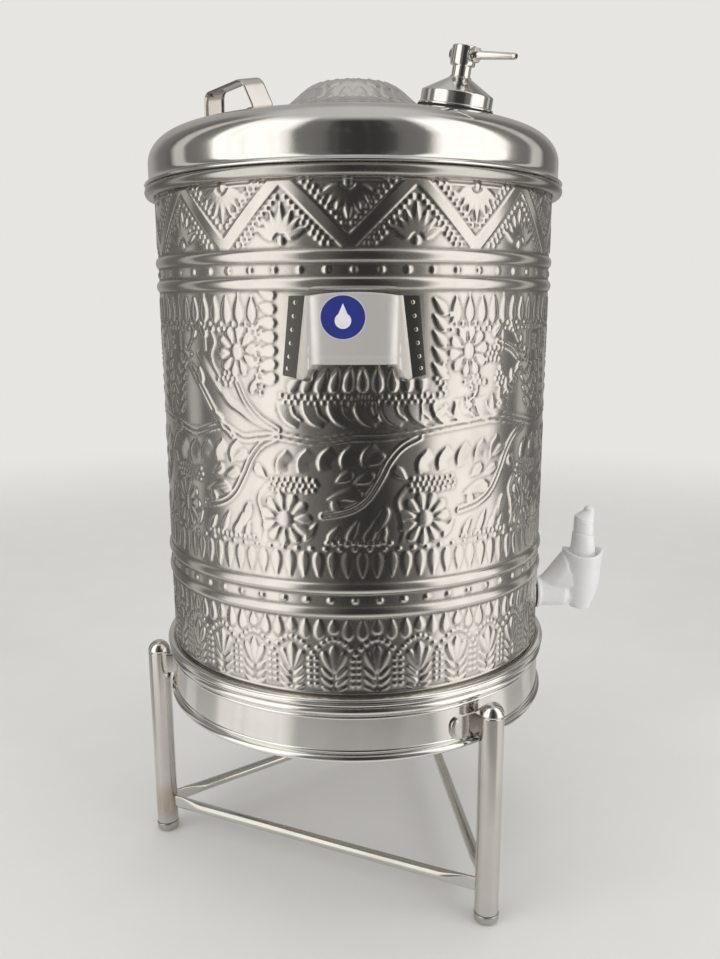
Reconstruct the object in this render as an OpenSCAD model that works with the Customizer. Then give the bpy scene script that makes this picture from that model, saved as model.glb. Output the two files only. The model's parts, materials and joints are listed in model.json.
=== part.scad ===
// Steel water cooler: an embossed drum with a lid pump and a tap, on a tripod stand.
// Millimetres. +Z is up, the origin lies on the drum axis at floor level,
// the label handle faces -Y and the tap points along +X.

/* [Stand] */
// Height of the hoop's top edge, on which the drum sits
stand_h = 192; // [160:1:260]
// Height of the hoop
hoop_h = 44; // [30:1:70]
// Diameter of the beads along the hoop's edges
hoop_bead_d = 6; // [4:0.5:8]
// Thickness of the hoop's band
hoop_t = 1.2; // [0.8:0.1:2]
// Play between the drum's foot ring and the hoop
hoop_play = 1.2; // [0.6:0.1:2]
// Outside diameter of a leg tube
leg_d = 19; // [16:0.5:25]
// Wall of a leg tube
leg_wall = 1.2; // [0.8:0.1:2]
// Gap between the hoop's bead and a leg
leg_gap = 1.8; // [0.8:0.1:5]
// Direction of the first leg, seen from above
leg_turn = 65.5; // [0:0.5:120]
// Drop from the seat to the top of the leg caps
leg_drop = 6; // [2:0.5:10]
// Diameter of a foot plug
foot_d = 20; // [19.5:0.5:30]
// Height of a foot plug below its tube
foot_h = 8; // [6:0.5:14]
// Rounding of a foot plug's lower edge
foot_round = 2.5; // [1:0.5:4]
// Outside diameter of a brace tube
brace_d = 9.5; // [7:0.5:12]
// Wall of a brace tube
brace_wall = 1; // [0.8:0.1:1.5]
// Height of the braces above the floor
brace_z = 29; // [22:1:70]
// Thickness of a brace's pinched end
pinch_t = 3; // [2.2:0.1:4]
// Height of a brace's pinched end
pinch_h = 12; // [9:0.5:14]
// Length of a brace's pinched end, measured from the leg's axis
pinch_len = 22; // [18:1:30]
// Length over which a brace changes from pinched to round
pinch_blend = 13; // [8:1:20]
// Height of a bracket between leg and hoop
bracket_h = 18; // [12:1:24]
// Reach of a bracket's tongue from its leg's axis
bracket_reach = 28; // [20:1:40]
// Thickness of a bracket's tongue on the hoop
bracket_t = 2.4; // [1.5:0.1:2.8]

/* [Drum] */
// Outside diameter of the drum wall
drum_d = 320; // [290:1:360]
// Height from the seat to the middle of the rim roll
drum_h = 374; // [340:1:440]
// Sheet thickness of the drum
sheet_t = 1; // [0.8:0.1:1.4]
// Diameter of the rolled rim
rim_d = 8.8; // [7:0.2:11]
// Height of the upper pair of ribs above the seat
upper_rib_h = 311.3; // [280:0.1:330]
// Height of the lower pair of ribs above the seat
lower_rib_h = 80.7; // [70:0.1:110]
// Distance between the two ribs of a pair
rib_pitch = 18; // [14:0.5:24]
// Width of a rib
rib_w = 9; // [6:0.5:11]
// Height of a rib
rib_rise = 2.2; // [1.5:0.1:3]
// Diameter of the bead around the drum's base
base_bead_d = 7; // [5:0.5:9]
// Thickness of the foot ring's band
foot_ring_t = 1.2; // [0.8:0.1:2]
// Depth of the foot ring inside the hoop
foot_ring_h = 10; // [5:0.5:20]
// Height of the drum's floor above the seat
floor_h = 13; // [8:0.5:16]

/* [Ornament] */
// Height of the pressed ornament above the drum wall
relief_rise = 1.3; // [0.8:0.1:1.8]
// Number of zigzags in the top band
zigzags = 11; // [9:1:13]
// Width of a zigzag's strip
zigzag_w = 8.4; // [6:0.2:10]
// Number of dots between the upper ribs
upper_dots = 55; // [45:1:65]
// Number of dots between the lower ribs
lower_dots = 57; // [45:1:65]
// Diameter of a dot
dot_d = 5.2; // [4:0.2:6]
// Number of leaves in a border round the drum
border_leaves = 96; // [80:4:108]
// Length of a border leaf
border_leaf_l = 18.5; // [14:0.5:20]
// Number of large flowers above the vine
large_flowers = 6; // [4:2:6]
// Number of flowers below the vine
small_flowers = 10; // [8:1:11]
// Radius of a flower
flower_r = 17.5; // [13:0.5:18]
// Number of petals in a flower
flower_petals = 10; // [8:1:12]
// Width of the vine
vine_w = 5.4; // [3:0.2:7]
// Number of palmettes in the lower band
palmettes = 32; // [26:1:36]

/* [Pocket handles] */
// Width of a handle's raised plate
grip_w = 60; // [50:1:75]
// Height of a handle's raised plate
grip_h = 46; // [36:1:60]
// Gap between the lower of the upper ribs and the handle
grip_below_rib = 1; // [0.5:0.5:12]
// Stand-off of the plate at its top edge
grip_top_out = 8; // [5:0.5:12]
// Stand-off of the plate at its bottom edge
grip_low_out = 22; // [18:0.5:30]
// Rounding of the plate's upright edges
grip_round = 5; // [3:0.5:6]
// Sheet thickness of a handle
grip_t = 1.2; // [0.8:0.1:1.6]
// Width of a handle's side flange at its top
flange_top_w = 13.5; // [10:0.5:18]
// Width of a handle's side flange at its bottom
flange_low_w = 19; // [13:0.5:24]
// Length of the flanges below the plate
flange_tail = 9.5; // [4:0.5:14]
// Diameter of the round label
label_d = 30; // [20:1:34]
// Thickness of the round label
label_t = 0.25; // [0.15:0.05:0.5]
// Offset of the label from the middle of the plate
label_shift = -7.3; // [-9:0.1:9]
// Distance from the plate's top edge to the middle of the label
label_drop = 17; // [17:0.5:26]

/* [Tap] */
// Height of the tap's inlet above the seat
tap_h = 32; // [30:0.5:40]
// Reach of the tap's spindle from the drum wall
tap_reach = 44.7; // [40:0.1:60]
// Outside diameter of the tap's inlet tail
tap_tail_d = 20; // [16:0.5:21]
// Length of the tail inside the drum
tap_tail_len = 14; // [13:0.5:20]
// Bore of the tap
tap_bore_d = 12; // [8:0.5:12.5]
// Diameter of the tap's wall flange
tap_flange_d = 29; // [27:0.5:32]
// Thickness of the tap's wall flange
tap_flange_t = 3; // [2:0.5:4]
// Diameter of the tap's barrel
tap_barrel_d = 25; // [22:0.5:27]
// Diameter of the tap's nozzle
tap_nozzle_d = 19; // [16:0.5:22]
// Depth of the nozzle's end below the inlet axis
tap_nozzle_drop = 14; // [13.5:0.5:22]
// Length of the nozzle's straight outside
tap_nozzle_len = 3; // [2:0.5:4]
// Spindle to the end of the barrel's nose
tap_nose = 13; // [12.5:0.5:18]
// Diameter of the tap's cup
tap_cup_d = 36; // [34:0.5:40]
// Height of the cup's rim above the inlet axis
tap_cup_h = 37; // [35:0.5:44]
// Depth of the saddle cut in the cup's rim
tap_saddle = 5; // [2:0.5:5.5]
// Diameter of the valve plug at its top
plug_d = 21; // [19:0.5:23]
// Taper of the valve plug in diameter
plug_taper = 3.6; // [2:0.2:5]
// Diameter of the tap handle's stem
thumb_d = 19.5; // [17:0.5:21]
// Height of the tap handle above the cup's rim
thumb_h = 43; // [36:0.5:50]
// Diameter of the tap handle's rounded tip
thumb_tip_d = 9; // [7:0.5:12]
// Thickness of the tap's rubber washers
tap_washer_t = 3; // [2:0.25:4]
// Width across the flats of the tap's lock nut
tap_nut_af = 27; // [25:0.5:30]
// Thickness of the tap's lock nut
tap_nut_t = 6; // [4:0.5:8]

/* [Lid] */
// How far the lid's skirt stands outside the drum wall
skirt_out = 4.6; // [3:0.1:8]
// Height of the skirt's straight part above the rim
skirt_h = 16.5; // [12:0.5:30]
// Sheet thickness of the lid
lid_t = 1.2; // [0.8:0.1:1.6]
// Width of the rolled lip at the skirt's edge
lip_w = 3.6; // [2:0.1:5]
// Height of the rolled lip
lip_h = 5; // [3:0.5:8]
// Width of the rounded shoulder
shoulder_w = 29.7; // [22:0.1:36]
// Height of the rounded shoulder
shoulder_h = 24.2; // [16:0.1:32]
// Slope of the lid's top, in degrees
lid_slope = 12.2; // [8:0.1:15]
// Diameter of the raised centre
dome_d = 133; // [110:1:136]
// Diameter of the raised centre's flat top
dome_top_d = 49; // [30:1:60]
// Height of the raised centre
dome_h = 26; // [12:0.5:32]
// Wall of the locating ring under the lid
locate_t = 1.2; // [0.8:0.1:2]
// Depth of the locating ring below the rim
locate_h = 14; // [8:1:24]
// Play between the locating ring and the drum's mouth
locate_play = 1.5; // [0.8:0.1:3]

/* [Lid handle] */
// Direction of the strap handle, seen from above
strap_az = 216; // [180:1:240]
// Distance of the strap handle inside the shoulder
strap_inset = 36.5; // [32:0.5:44]
// Length of the strap handle over its feet
strap_foot_len = 76; // [66:1:100]
// Length of the strap handle's grip
strap_top_len = 58; // [44:1:62]
// Height of the strap handle
strap_h = 21.5; // [18:0.5:40]
// Width of the strap
strap_w = 17.5; // [14:0.5:22]
// Thickness of the strap
strap_t = 1.6; // [1.2:0.1:2.5]
// Outer rounding of the strap's bends
strap_bend = 6; // [4:0.5:8]
// Length of the strap's turned-in feet
strap_foot = 10; // [6:0.5:14]

/* [Pump] */
// Direction of the pump, seen from above
pump_az = -48; // [-70:1:-30]
// Distance of the pump inside the shoulder
pump_inset = 32.5; // [30:0.5:40]
// Thickness of the saddle gasket at the middle
gasket_t = 1.5; // [1:0.1:3]
// Diameter of the collar
collar_d = 52; // [46:0.5:56]
// Width of the lip around the collar's edge
collar_lip = 0.8; // [0.4:0.1:1.4]
// Height of the collar's band
collar_band_h = 9.6; // [6:0.2:14]
// Height of the collar's cone
collar_cone_h = 10.4; // [7:0.2:16]
// Sheet thickness of the collar
collar_t = 1.2; // [0.8:0.1:1.6]
// Diameter of the sliding neck
neck_d = 13.8; // [12:0.1:15]
// Length of the neck that shows above the collar
neck_show = 7; // [5:0.5:12]
// Travel of the pump
pump_travel = 6.5; // [4:0.1:6.5]
// Diameter of the pump head
head_d = 15.4; // [15:0.2:20]
// Height of the pump head
head_h = 14; // [11:0.5:20]
// Diameter of the spout tube
spout_d = 5; // [4:0.1:6]
// Bore of the spout tube
spout_bore = 2.6; // [1.5:0.1:3]
// Reach of the spout from the pump's axis
spout_reach = 49; // [36:0.5:62]
// Length of the spout's pointed tip
spout_tip = 3; // [2:0.5:6]
// Outside diameter of the pump cylinder
cylinder_d = 22; // [20:0.5:26]
// Bore of the pump cylinder
cylinder_bore = 19; // [17:0.5:19.5]
// Length of the pump cylinder below the lid
cylinder_len = 70; // [62:1:100]
// Diameter of the piston rod
rod_d = 8; // [6:0.2:9]
// Length of the piston
piston_len = 8; // [6:0.5:10]
// Wire of the return spring
spring_wire = 1.2; // [0.8:0.1:1.4]
// Number of turns of the return spring
spring_turns = 7; // [4:1:9]
// Diameter of the valve ball
ball_d = 7; // [6:0.2:8]
// Outside diameter of the dip tube
dip_d = 10; // [8:0.5:12]
// Bore of the dip tube
dip_bore = 8; // [6:0.5:8]
// Diameter of the strainer
strainer_d = 15; // [13:0.5:20]
// Length of the strainer
strainer_len = 16; // [12:0.5:24]
// Gap between the strainer and the drum's floor
dip_floor_gap = 6; // [3:0.5:20]
// Width across the flats of the pump's lock nut
pump_nut_af = 32; // [29:0.5:36]
// Thickness of the pump's lock nut
pump_nut_t = 7; // [5:0.5:9]

/* [Clearances] */
// Gap between pieces of one body that are pushed together
fit_gap = 0.05; // [0.02:0.01:0.1]
// Radial gap between pieces that turn or slide on each other
run_gap = 0.06; // [0.03:0.01:0.1]
// Gap between curved faces that rest on each other
rest_gap = 0.3; // [0.2:0.05:0.5]

/* [Hidden] */
$fn = 96;
fine = 720;
past = 1;
tall = 1000;

// Drum radii and heights
wall_r = drum_d / 2;
wall_in = wall_r - sheet_t;
rim_r = wall_r - sheet_t / 2 + rim_d / 2;
rim_z = stand_h + drum_h;
rim_top = rim_z + rim_d / 2;
roll_bore_d = rim_d - 2 * sheet_t;
wire_play = 0.4;
rim_wire_d = roll_bore_d - wire_play;
roll_slit = 1.9;
base_z = stand_h + rest_gap;
base_flange_t = 1.5;
wall_z = base_z + base_flange_t;
base_bead_r = wall_r + base_bead_d / 2 + fit_gap;
pan_play = 0.2;
pan_r = wall_in - pan_play;
skirt_r = pan_r;
floor_z = base_z + floor_h;
rib_r = (rib_w * rib_w / 4 + rib_rise * rib_rise) / (2 * rib_rise);
rib_zs = [for (h = [lower_rib_h, upper_rib_h], side = [-1, 1]) stand_h + h + side * rib_pitch / 2];

// Ornament rows
degree_l = PI * wall_r / 180;
relief_bite = 0.6;
relief_room = 2.8;
rib_room = 0.6;
rim_room = 2.2;
tap_room = 2;
belly_share = 0.32;
leaf_share = 0.8;
zigzag_step = 360 / zigzags;
zigzag_low = rib_zs[3] + rib_w / 2 + rib_room;
zigzag_high = rim_z - rim_d / 2 - rim_room;
zigzag_run = zigzag_step / 2 * degree_l;
border_step = 360 / border_leaves;
border_leaf_w = leaf_share * border_step * degree_l;
border_clear = 26;
border_low = rib_zs[1] + rib_w / 2 + relief_room;
border_high = rib_zs[2] - rib_w / 2 - relief_room;
tear_l = 16;
tear_high = rib_zs[0] - rib_w / 2 - rib_room;
high_flower_gap = 2.2;
low_flower_gap = 5;
flower_hub_d = 10.4;
hub_room = 0.8;
flower_petal_l = flower_r - flower_hub_d / 2 - hub_room;
flower_petal_w = leaf_share * 2 * PI * flower_r / flower_petals;
high_flower_z = border_high - border_leaf_l - high_flower_gap - flower_r;
low_flower_z = border_low + border_leaf_l + low_flower_gap + flower_r;
vine_z = (high_flower_z + low_flower_z) / 2;
vine_wave = 4;
vine_sector = 30;
vine_steps = 5;
palmette_step = 360 / palmettes;
palmette_leaf_l = 21;
palmette_taper = 3;
palmette_lean = 14;
palmette_leaf_w = 5.4;
palmette_gap = 5;
palmette_z = tear_high - tear_l - palmette_gap;
palmette_spread = 3;
tap_side = 90;

// Stand radii and leg places
hoop_r = skirt_r + hoop_play + hoop_bead_d / 2;
leg_r = hoop_r + hoop_bead_d / 2 + leg_gap + leg_d / 2;
leg_azs = [leg_turn, leg_turn + 120, leg_turn + 240];
leg_top = stand_h - leg_drop;
leg_in = leg_d / 2 - leg_wall;
plug_deep = 12;
bracket_drop = 26.4;
bracket_z = stand_h - bracket_drop;
saddle_w = 13.3;
saddle_wrap = 6.8;
brace_len = leg_r * sqrt(3);

// Handle places
grip_top = stand_h + upper_rib_h - rib_pitch / 2 - rib_w / 2 - grip_below_rib;
grip_low = grip_top - grip_h;
grip_lean = atan((grip_low_out - grip_top_out) / grip_h);

// Tap places
tap_z = stand_h + tap_h;
tap_x = wall_r + tap_reach;
tap_nozzle_z = tap_z - tap_nozzle_drop;
tap_cup_z = tap_z + tap_cup_h;
nozzle_deep = 5;
cup_deep = 13.5;
plug_low_z = tap_nozzle_z + nozzle_deep;
plug_top_z = tap_cup_z - cup_deep;
plug_low_d = plug_d - plug_taper;
cup_wall = 2.5;
cup_in_d = tap_cup_d - 2 * cup_wall;
cup_flare = 1;
cup_low_rise = 3.7;
cup_mid_rise = 20.4;
cup_low_z = tap_z + cup_low_rise;
cup_mid_z = tap_z + cup_mid_rise;
nose_bevel = 4;
nose_x = tap_x - tap_nose;
web_t = 15;
plug_flange_t = 3.2;
bonnet_t = 2.6;
port_step = 2;
port_d = tap_bore_d - port_step;
tail_play = 1;
stem_top = tap_cup_z + thumb_h / 2;
stem_groove = 0.8;
stem_groove_rises = [4.3, 9.5];
stem_groove_zs = [for (rise = stem_groove_rises) tap_cup_z + rise];
tap_seal_d = 2;
tap_flange_x = wall_r + tap_washer_t;

// Lid radii and heights
lid_z = rim_top + rest_gap;
lid_r = wall_r + skirt_out;
shoulder_r = lid_r - shoulder_w;
shoulder_z = lid_z + skirt_h;
slope = tan(lid_slope);
shoulder_end = atan(shoulder_h / shoulder_w / slope);
flat_r = shoulder_r + shoulder_w * cos(shoulder_end);
flat_z = shoulder_z + shoulder_h * sin(shoulder_end);
dome_r = dome_d / 2;
dome_top_r = dome_top_d / 2;
shoulder_steps = 10;
dome_steps = 12;

// Pump heights along its own axis, counted from the lid's outside
pump_r = flat_r - pump_inset;
collar_z = gasket_t;
cone_z = collar_z + collar_band_h;
collar_top = cone_z + collar_cone_h;
neck_bore_r = neck_d / 2 + run_gap;
collar_land = 0.9;
cone_top_r = neck_bore_r + collar_land;
collar_pitch = collar_cone_h / (collar_d / 2 - cone_top_r);
cone_wall = collar_t * sqrt(1 + collar_pitch * collar_pitch);
cylinder_flange_t = 2.5;
flange_inset = 3;
cylinder_flange_r = collar_d / 2 - collar_t - flange_inset;
bush_low = collar_z + cylinder_flange_t;
bush_wall = 1.4;
bush_r = neck_bore_r + bush_wall;
head_z = collar_top + neck_show;
head_top = head_z + head_h;
neck_over = 1.5;
neck_low = bush_low + pump_travel + neck_over;
rod_deep = 3;
rod_top = head_z + rod_deep;
piston_top = -30;
piston_low = piston_top - piston_len;
piston_d = cylinder_bore - 2 * run_gap;
seal_d = 2.2;
cylinder_floor_t = 3;
cylinder_low = -cylinder_len;
cylinder_floor = cylinder_low + cylinder_floor_t;
valve_bore = ball_d - 2;
nipple_d = dip_bore - 2 * fit_gap;
nipple_len = 15;
spring_play = 0.6;
spring_r = cylinder_bore / 2 - spring_wire - spring_play;
spring_low = cylinder_floor + spring_wire / 2 + fit_gap;
spring_top = piston_low - spring_wire / 2 - fit_gap;
spout_drop = 5.8;
spout_z = head_top - spout_drop;
head_r = head_d / 2;
head_bevel = 0.8;
boss_out = 1;
boss_d = spout_d + 3.6;
spout_deep = 3;
spout_nut_t = 4;
spout_step = 0.2;
spout_root_d = spout_d - 2 * spout_step;
spout_nut_x = head_r + boss_out + spout_nut_t;
spout_bare = 0.5;
spout_from = spout_nut_x + spout_bare;
spout_nut_af = spout_d + 4.4;
spout_end_d = spout_bore + 0.6;
plug_head_t = 3;
lower_washer_t = 3;
nut_top = -lid_t - lower_washer_t;
gasket_sink = 3;
gasket_d = collar_d + 4 * collar_lip;
lid_pump_z = cone_height(pump_r);
dip_low = -(lid_pump_z - floor_z - dip_floor_gap - strainer_d / 2 * sin(lid_slope)) / cos(lid_slope);
strap_r = flat_r - strap_inset;
strap_sink = 5;
lip_edge = 1.6;
strainer_slot_w = 2;
strainer_slot_len = 5.6;
strainer_slots = 6;

// Height of the lid's sloping top at a radius
function cone_height(r) = flat_z + (flat_r - r) * slope;

// Smooth step from 0 to 1
function ease(t) = t * t * (3 - 2 * t);

// Outline of the lid's outside from the lip to the axis, moved inwards by a wall
function lid_outline(wall) = concat(
    [for (i = [0:shoulder_steps]) let (a = shoulder_end * i / shoulder_steps)
        [shoulder_r + (shoulder_w - wall) * cos(a), shoulder_z + (shoulder_h - wall) * sin(a)]],
    [for (i = [0:dome_steps])
        let (t = i / dome_steps, r = dome_r + (dome_top_r - dome_r) * t)
        [r, cone_height(dome_r) + dome_h * ease(t) - wall / cos(lid_slope)]],
    [[0, cone_height(dome_r) + dome_h - wall / cos(lid_slope)]]
);

// Height of the underside of the collar's cone at a radius
function cone_under(r) = collar_top - (r - cone_top_r) * collar_pitch - cone_wall;

// Section of the strap handle's right half, from the middle of its grip to the end of its turned-in foot
function strap_half(sink) =
    let (
        lean = atan((strap_foot_len - strap_top_len) / 2 / strap_h),
        bend_y = strap_top_len / 2 - strap_bend * (1 - sin(lean)) / cos(lean),
        bend_z = strap_h - strap_bend,
        low_y = strap_top_len / 2 + (strap_h + sink) * tan(lean),
        foot_y = strap_foot_len / 2 - strap_foot,
        heel_y = strap_top_len / 2 + (strap_h - strap_t) * tan(lean) - strap_t / cos(lean),
        steps = 8
    )
    concat(
        [[0, strap_h]],
        [for (i = [0:steps]) let (a = 90 + (lean - 90) * i / steps)
            [bend_y + strap_bend * cos(a), bend_z + strap_bend * sin(a)]],
        [[low_y, -sink], [foot_y, -sink], [foot_y, strap_t], [heel_y, strap_t]],
        [for (i = [steps:-1:0]) let (a = 90 + (lean - 90) * i / steps)
            [bend_y + (strap_bend - strap_t) * cos(a), bend_z + (strap_bend - strap_t) * sin(a)]],
        [[0, strap_h - strap_t]]
    );

// Points along the return spring's middle line
function coil_point(t) = [
    spring_r * cos(360 * spring_turns * t),
    spring_r * sin(360 * spring_turns * t),
    spring_low + (spring_top - spring_low) * t
];

steel = [0.80, 0.79, 0.77];
polished = [0.86, 0.85, 0.83];
white_plastic = [0.93, 0.94, 0.95];
rubber = [0.12, 0.12, 0.12];
label_blue = [0.15, 0.21, 0.58];

// Places its children at a leg, with the outward direction along +X
module at_leg(az) {
    rotate([0, 0, az]) translate([leg_r, 0, 0]) children();
}

// Places its children on the lid's sloping top, square to it
module at_lid(az, r) {
    translate([r * cos(az), r * sin(az), cone_height(r)])
        rotate([0, 0, az]) rotate([0, lid_slope, 0]) children();
}

// Places its children on the pump's axis
module at_pump() {
    at_lid(pump_az, pump_r) children();
}

// Places its children on the tap's inlet axis, with their +Z outwards
module at_inlet() {
    translate([0, 0, tap_z]) rotate([0, 90, 0]) children();
}

// Cylinder along +Z between two heights
module bar(d, low, high) {
    translate([0, 0, low]) cylinder(d = d, h = high - low);
}

// Hexagonal bar between two heights, with a round bore
module hex_nut(across, bore, low, high) {
    difference() {
        translate([0, 0, low]) cylinder(d = across / cos(30), h = high - low, $fn = 6);
        bar(bore, low - past, high + past);
    }
}

// Solid that fills the lid down to the floor, moved in by a wall
module lid_filled(wall) {
    rotate_extrude() polygon(concat([[0, 0], [lid_r - wall, 0]], lid_outline(wall)));
}

module stand_hoop() {
    color(polished) rotate_extrude() {
        translate([hoop_r - hoop_t, stand_h - hoop_h + hoop_bead_d / 2])
            square([hoop_t, hoop_h - hoop_bead_d]);
        for (z = [stand_h - hoop_bead_d / 2, stand_h - hoop_h + hoop_bead_d / 2])
            translate([hoop_r, z]) circle(d = hoop_bead_d);
    }
}

// Leg tube between its foot plug and its cap
module leg_tube(az) {
    color(steel) at_leg(az) difference() {
        bar(leg_d, foot_h, leg_top - leg_d / 2);
        bar(2 * leg_in, foot_h - past, leg_top);
    }
}

module leg_rear() { leg_tube(leg_azs[0]); }
module leg_left() { leg_tube(leg_azs[1]); }
module leg_right() { leg_tube(leg_azs[2]); }

// Half-round caps with a spigot in each tube
module leg_caps() {
    color(polished) for (az = leg_azs) at_leg(az) translate([0, 0, leg_top - leg_d / 2]) rotate_extrude() {
        intersection() {
            circle(d = leg_d);
            square(leg_d);
        }
        translate([0, -plug_deep]) square([leg_in - fit_gap, plug_deep + past]);
    }
}

// Rounded plugs that stand on the floor
module foot_plugs() {
    foot_r = foot_d / 2;
    color(steel) for (az = leg_azs) at_leg(az) rotate_extrude() {
        square([foot_r - foot_round, foot_h]);
        translate([0, foot_round]) square([foot_r, foot_h - foot_round]);
        translate([foot_r - foot_round, foot_round]) circle(foot_round);
        square([leg_in - fit_gap, foot_h + plug_deep]);
    }
}

// Flat end of a brace, which spreads into the round tube
module pinched_end() {
    skin = 0.4;
    translate([0, -pinch_t / 2, -pinch_h / 2]) cube([pinch_len, pinch_t, pinch_h]);
    hull() {
        translate([pinch_len - skin, -pinch_t / 2, -pinch_h / 2]) cube([skin, pinch_t, pinch_h]);
        translate([pinch_len + pinch_blend, 0, 0])
            rotate([0, 90, 0]) cylinder(d = brace_d, h = skin, $fn = 32);
    }
}

// Brace from the leg at one direction to the next leg round
module brace(az) {
    pinched = pinch_len + pinch_blend;
    color(steel) difference() {
        translate([leg_r * cos(az), leg_r * sin(az), brace_z]) rotate([0, 0, az + 150]) {
            rotate([0, 90, 0]) difference() {
                bar(brace_d, pinched, brace_len - pinched);
                bar(brace_d - 2 * brace_wall, pinched + past, brace_len - pinched - past);
            }
            pinched_end();
            translate([brace_len, 0, 0]) mirror([1, 0, 0]) pinched_end();
        }
        for (a = [az, az + 120]) at_leg(a) bar(leg_d, 0, leg_top);
    }
}

module brace_left() { brace(leg_azs[0]); }
module brace_front() { brace(leg_azs[1]); }
module brace_right() { brace(leg_azs[2]); }

// Tongue on the hoop with a saddle that holds the leg
module leg_brackets() {
    color(polished) for (az = leg_azs) difference() {
        rotate([0, 0, az]) translate([0, 0, bracket_z]) {
            intersection() {
                bar(2 * (hoop_r + bracket_t), -bracket_h, bracket_h);
                rotate([90, 0, 90]) linear_extrude(leg_r) {
                    translate([bracket_h / 2 - bracket_reach, 0]) circle(d = bracket_h);
                    translate([bracket_h / 2 - bracket_reach, -bracket_h / 2])
                        square([bracket_reach - bracket_h / 2 + saddle_w / 2, bracket_h]);
                }
            }
            translate([hoop_r - past, -saddle_w / 2, -bracket_h / 2])
                cube([leg_r - saddle_wrap - hoop_r + past, saddle_w, bracket_h]);
        }
        bar(2 * hoop_r, 0, stand_h);
        at_leg(az) bar(leg_d, 0, stand_h);
    }
}

// Section of the drum's sheet with its pressed ribs and its rolled rim
module drum_section() {
    rib_centre = wall_r + rib_rise - rib_r;
    difference() {
        union() {
            translate([wall_in, wall_z]) square([sheet_t, rim_z - wall_z]);
            for (z = rib_zs) intersection() {
                translate([rib_centre, z]) circle(rib_r);
                translate([wall_in, z - rib_w]) square([rib_w, 2 * rib_w]);
            }
            translate([rim_r, rim_z]) circle(d = rim_d);
        }
        for (z = rib_zs) translate([rib_centre, z]) circle(rib_r - sheet_t);
        translate([rim_r, rim_z]) circle(d = roll_bore_d);
        translate([wall_r + fit_gap, rim_z - rim_d / 2 - past]) square([roll_slit, roll_slit + past]);
    }
}

// Raises an outline off the drum wall, square to it, in a direction counted from the front
module pressed(turn, z, spin = 0) {
    rotate([0, 0, turn]) translate([0, relief_bite - wall_r, z]) rotate([90, 0, 0]) rotate([0, 0, spin])
        linear_extrude(relief_bite + relief_rise) children();
}

// Leaf from a place on the wall towards a heading, which is 90 upwards
module pressed_leaf(turn, z, heading, l, w) {
    belly = (belly_share - 1 / 2) * l;
    pressed(turn + l / 2 * cos(heading) / degree_l, z + l / 2 * sin(heading), heading - 90)
        polygon([[0, -l / 2], [w / 2, belly], [0, l / 2], [-w / 2, belly]]);
}

// Part of its children that lies in the ornament's layer between two heights
module in_relief(low, high) {
    intersection() {
        difference() {
            bar(2 * (wall_r + relief_rise), low, high);
            bar(2 * (wall_r - relief_bite), low - past, high + past);
        }
        union() children();
    }
}

// Prism through the wall, square to it at a direction counted from the front
module through_wall(turn) {
    rotate([0, 0, turn]) rotate([90, 0, 0]) translate([0, 0, wall_r / 2]) linear_extrude(wall_r) children();
}

// Strips that zigzag round the top band
module zigzag_band() {
    rise = zigzag_high - zigzag_low;
    half = zigzag_w / 2 * norm([zigzag_run, rise]) / zigzag_run;
    reach = zigzag_run / 2 + past;
    drop = reach * rise / zigzag_run;
    middle = (zigzag_low + zigzag_high) / 2;
    in_relief(zigzag_low, zigzag_high) for (k = [0 : zigzags - 1], side = [-1, 1])
        through_wall((k + side / 4) * zigzag_step) polygon([
            [-reach, middle - side * drop - half], [reach, middle + side * drop - half],
            [reach, middle + side * drop + half], [-reach, middle - side * drop + half]
        ]);
}

// Flower with a round hub and petals that narrow towards it
module flower(turn, z) {
    pressed(turn, z) circle(d = flower_hub_d);
    for (k = [0 : flower_petals - 1]) {
        heading = 360 * k / flower_petals;
        pressed_leaf(turn + flower_r * cos(heading) / degree_l, z + flower_r * sin(heading),
            heading + 180, flower_petal_l, flower_petal_w);
    }
}

// Whether a form from a height upwards stays clear of the tap's washer
function clear_of_tap(turn, low) =
    abs(turn - tap_side) * degree_l > tap_flange_d / 2 + border_leaf_w
    || low > stand_h + tap_h + tap_flange_d / 2 + tap_room;

// Height of the vine's middle in a direction
function vine_height(turn) = vine_z + vine_wave * sin(small_flowers * turn);

// Vine that waves round the drum
module vine() {
    reach = vine_wave + vine_w;
    half = vine_sector / 2 + past / degree_l;
    steps = [for (k = [0 : vine_steps]) half * (2 * k / vine_steps - 1)];
    in_relief(vine_z - reach, vine_z + reach) for (turn = [0 : vine_sector : 359])
        through_wall(turn) polygon([
            for (s = steps) [wall_r * sin(s), vine_height(turn + s) - vine_w / 2],
            for (s = -steps) [wall_r * sin(s), vine_height(turn + s) + vine_w / 2]
        ]);
}

// Pressed ornament: zigzags, dots, leaf borders, flowers over and under the vine, and palmettes
module drum_ornament() {
    zigzag_band();
    vine();
    for (k = [0 : upper_dots - 1]) pressed(360 * k / upper_dots, stand_h + upper_rib_h) circle(d = dot_d);
    for (k = [0 : lower_dots - 1]) pressed(360 * k / lower_dots, stand_h + lower_rib_h) circle(d = dot_d);
    for (k = [0 : border_leaves - 1]) {
        turn = (k + 1 / 2) * border_step;
        pressed_leaf(turn, border_low + border_leaf_l, -90, border_leaf_l, border_leaf_w);
        if (clear_of_tap(turn, tear_high - tear_l))
            pressed_leaf(turn, tear_high - tear_l, 90, tear_l, border_leaf_w);
        if (abs(turn % 180 - 90) < 90 - border_clear)
            pressed_leaf(turn, border_high - border_leaf_l, 90, border_leaf_l, border_leaf_w);
    }
    for (k = [0 : large_flowers - 1]) flower((k + 1 / 2) * 360 / large_flowers, high_flower_z);
    for (k = [0 : small_flowers - 1]) flower((k + 1 / 2) * 360 / small_flowers, low_flower_z);
    for (k = [0 : palmettes - 1], side = [-1, 0, 1]) {
        turn = (k + 1 / 2) * palmette_step;
        l = palmette_leaf_l - palmette_taper * abs(side);
        if (clear_of_tap(turn, palmette_z - l)) pressed_leaf(turn + side * palmette_spread, palmette_z,
            -90 - side * palmette_lean, l, palmette_leaf_w);
    }
}

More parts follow.
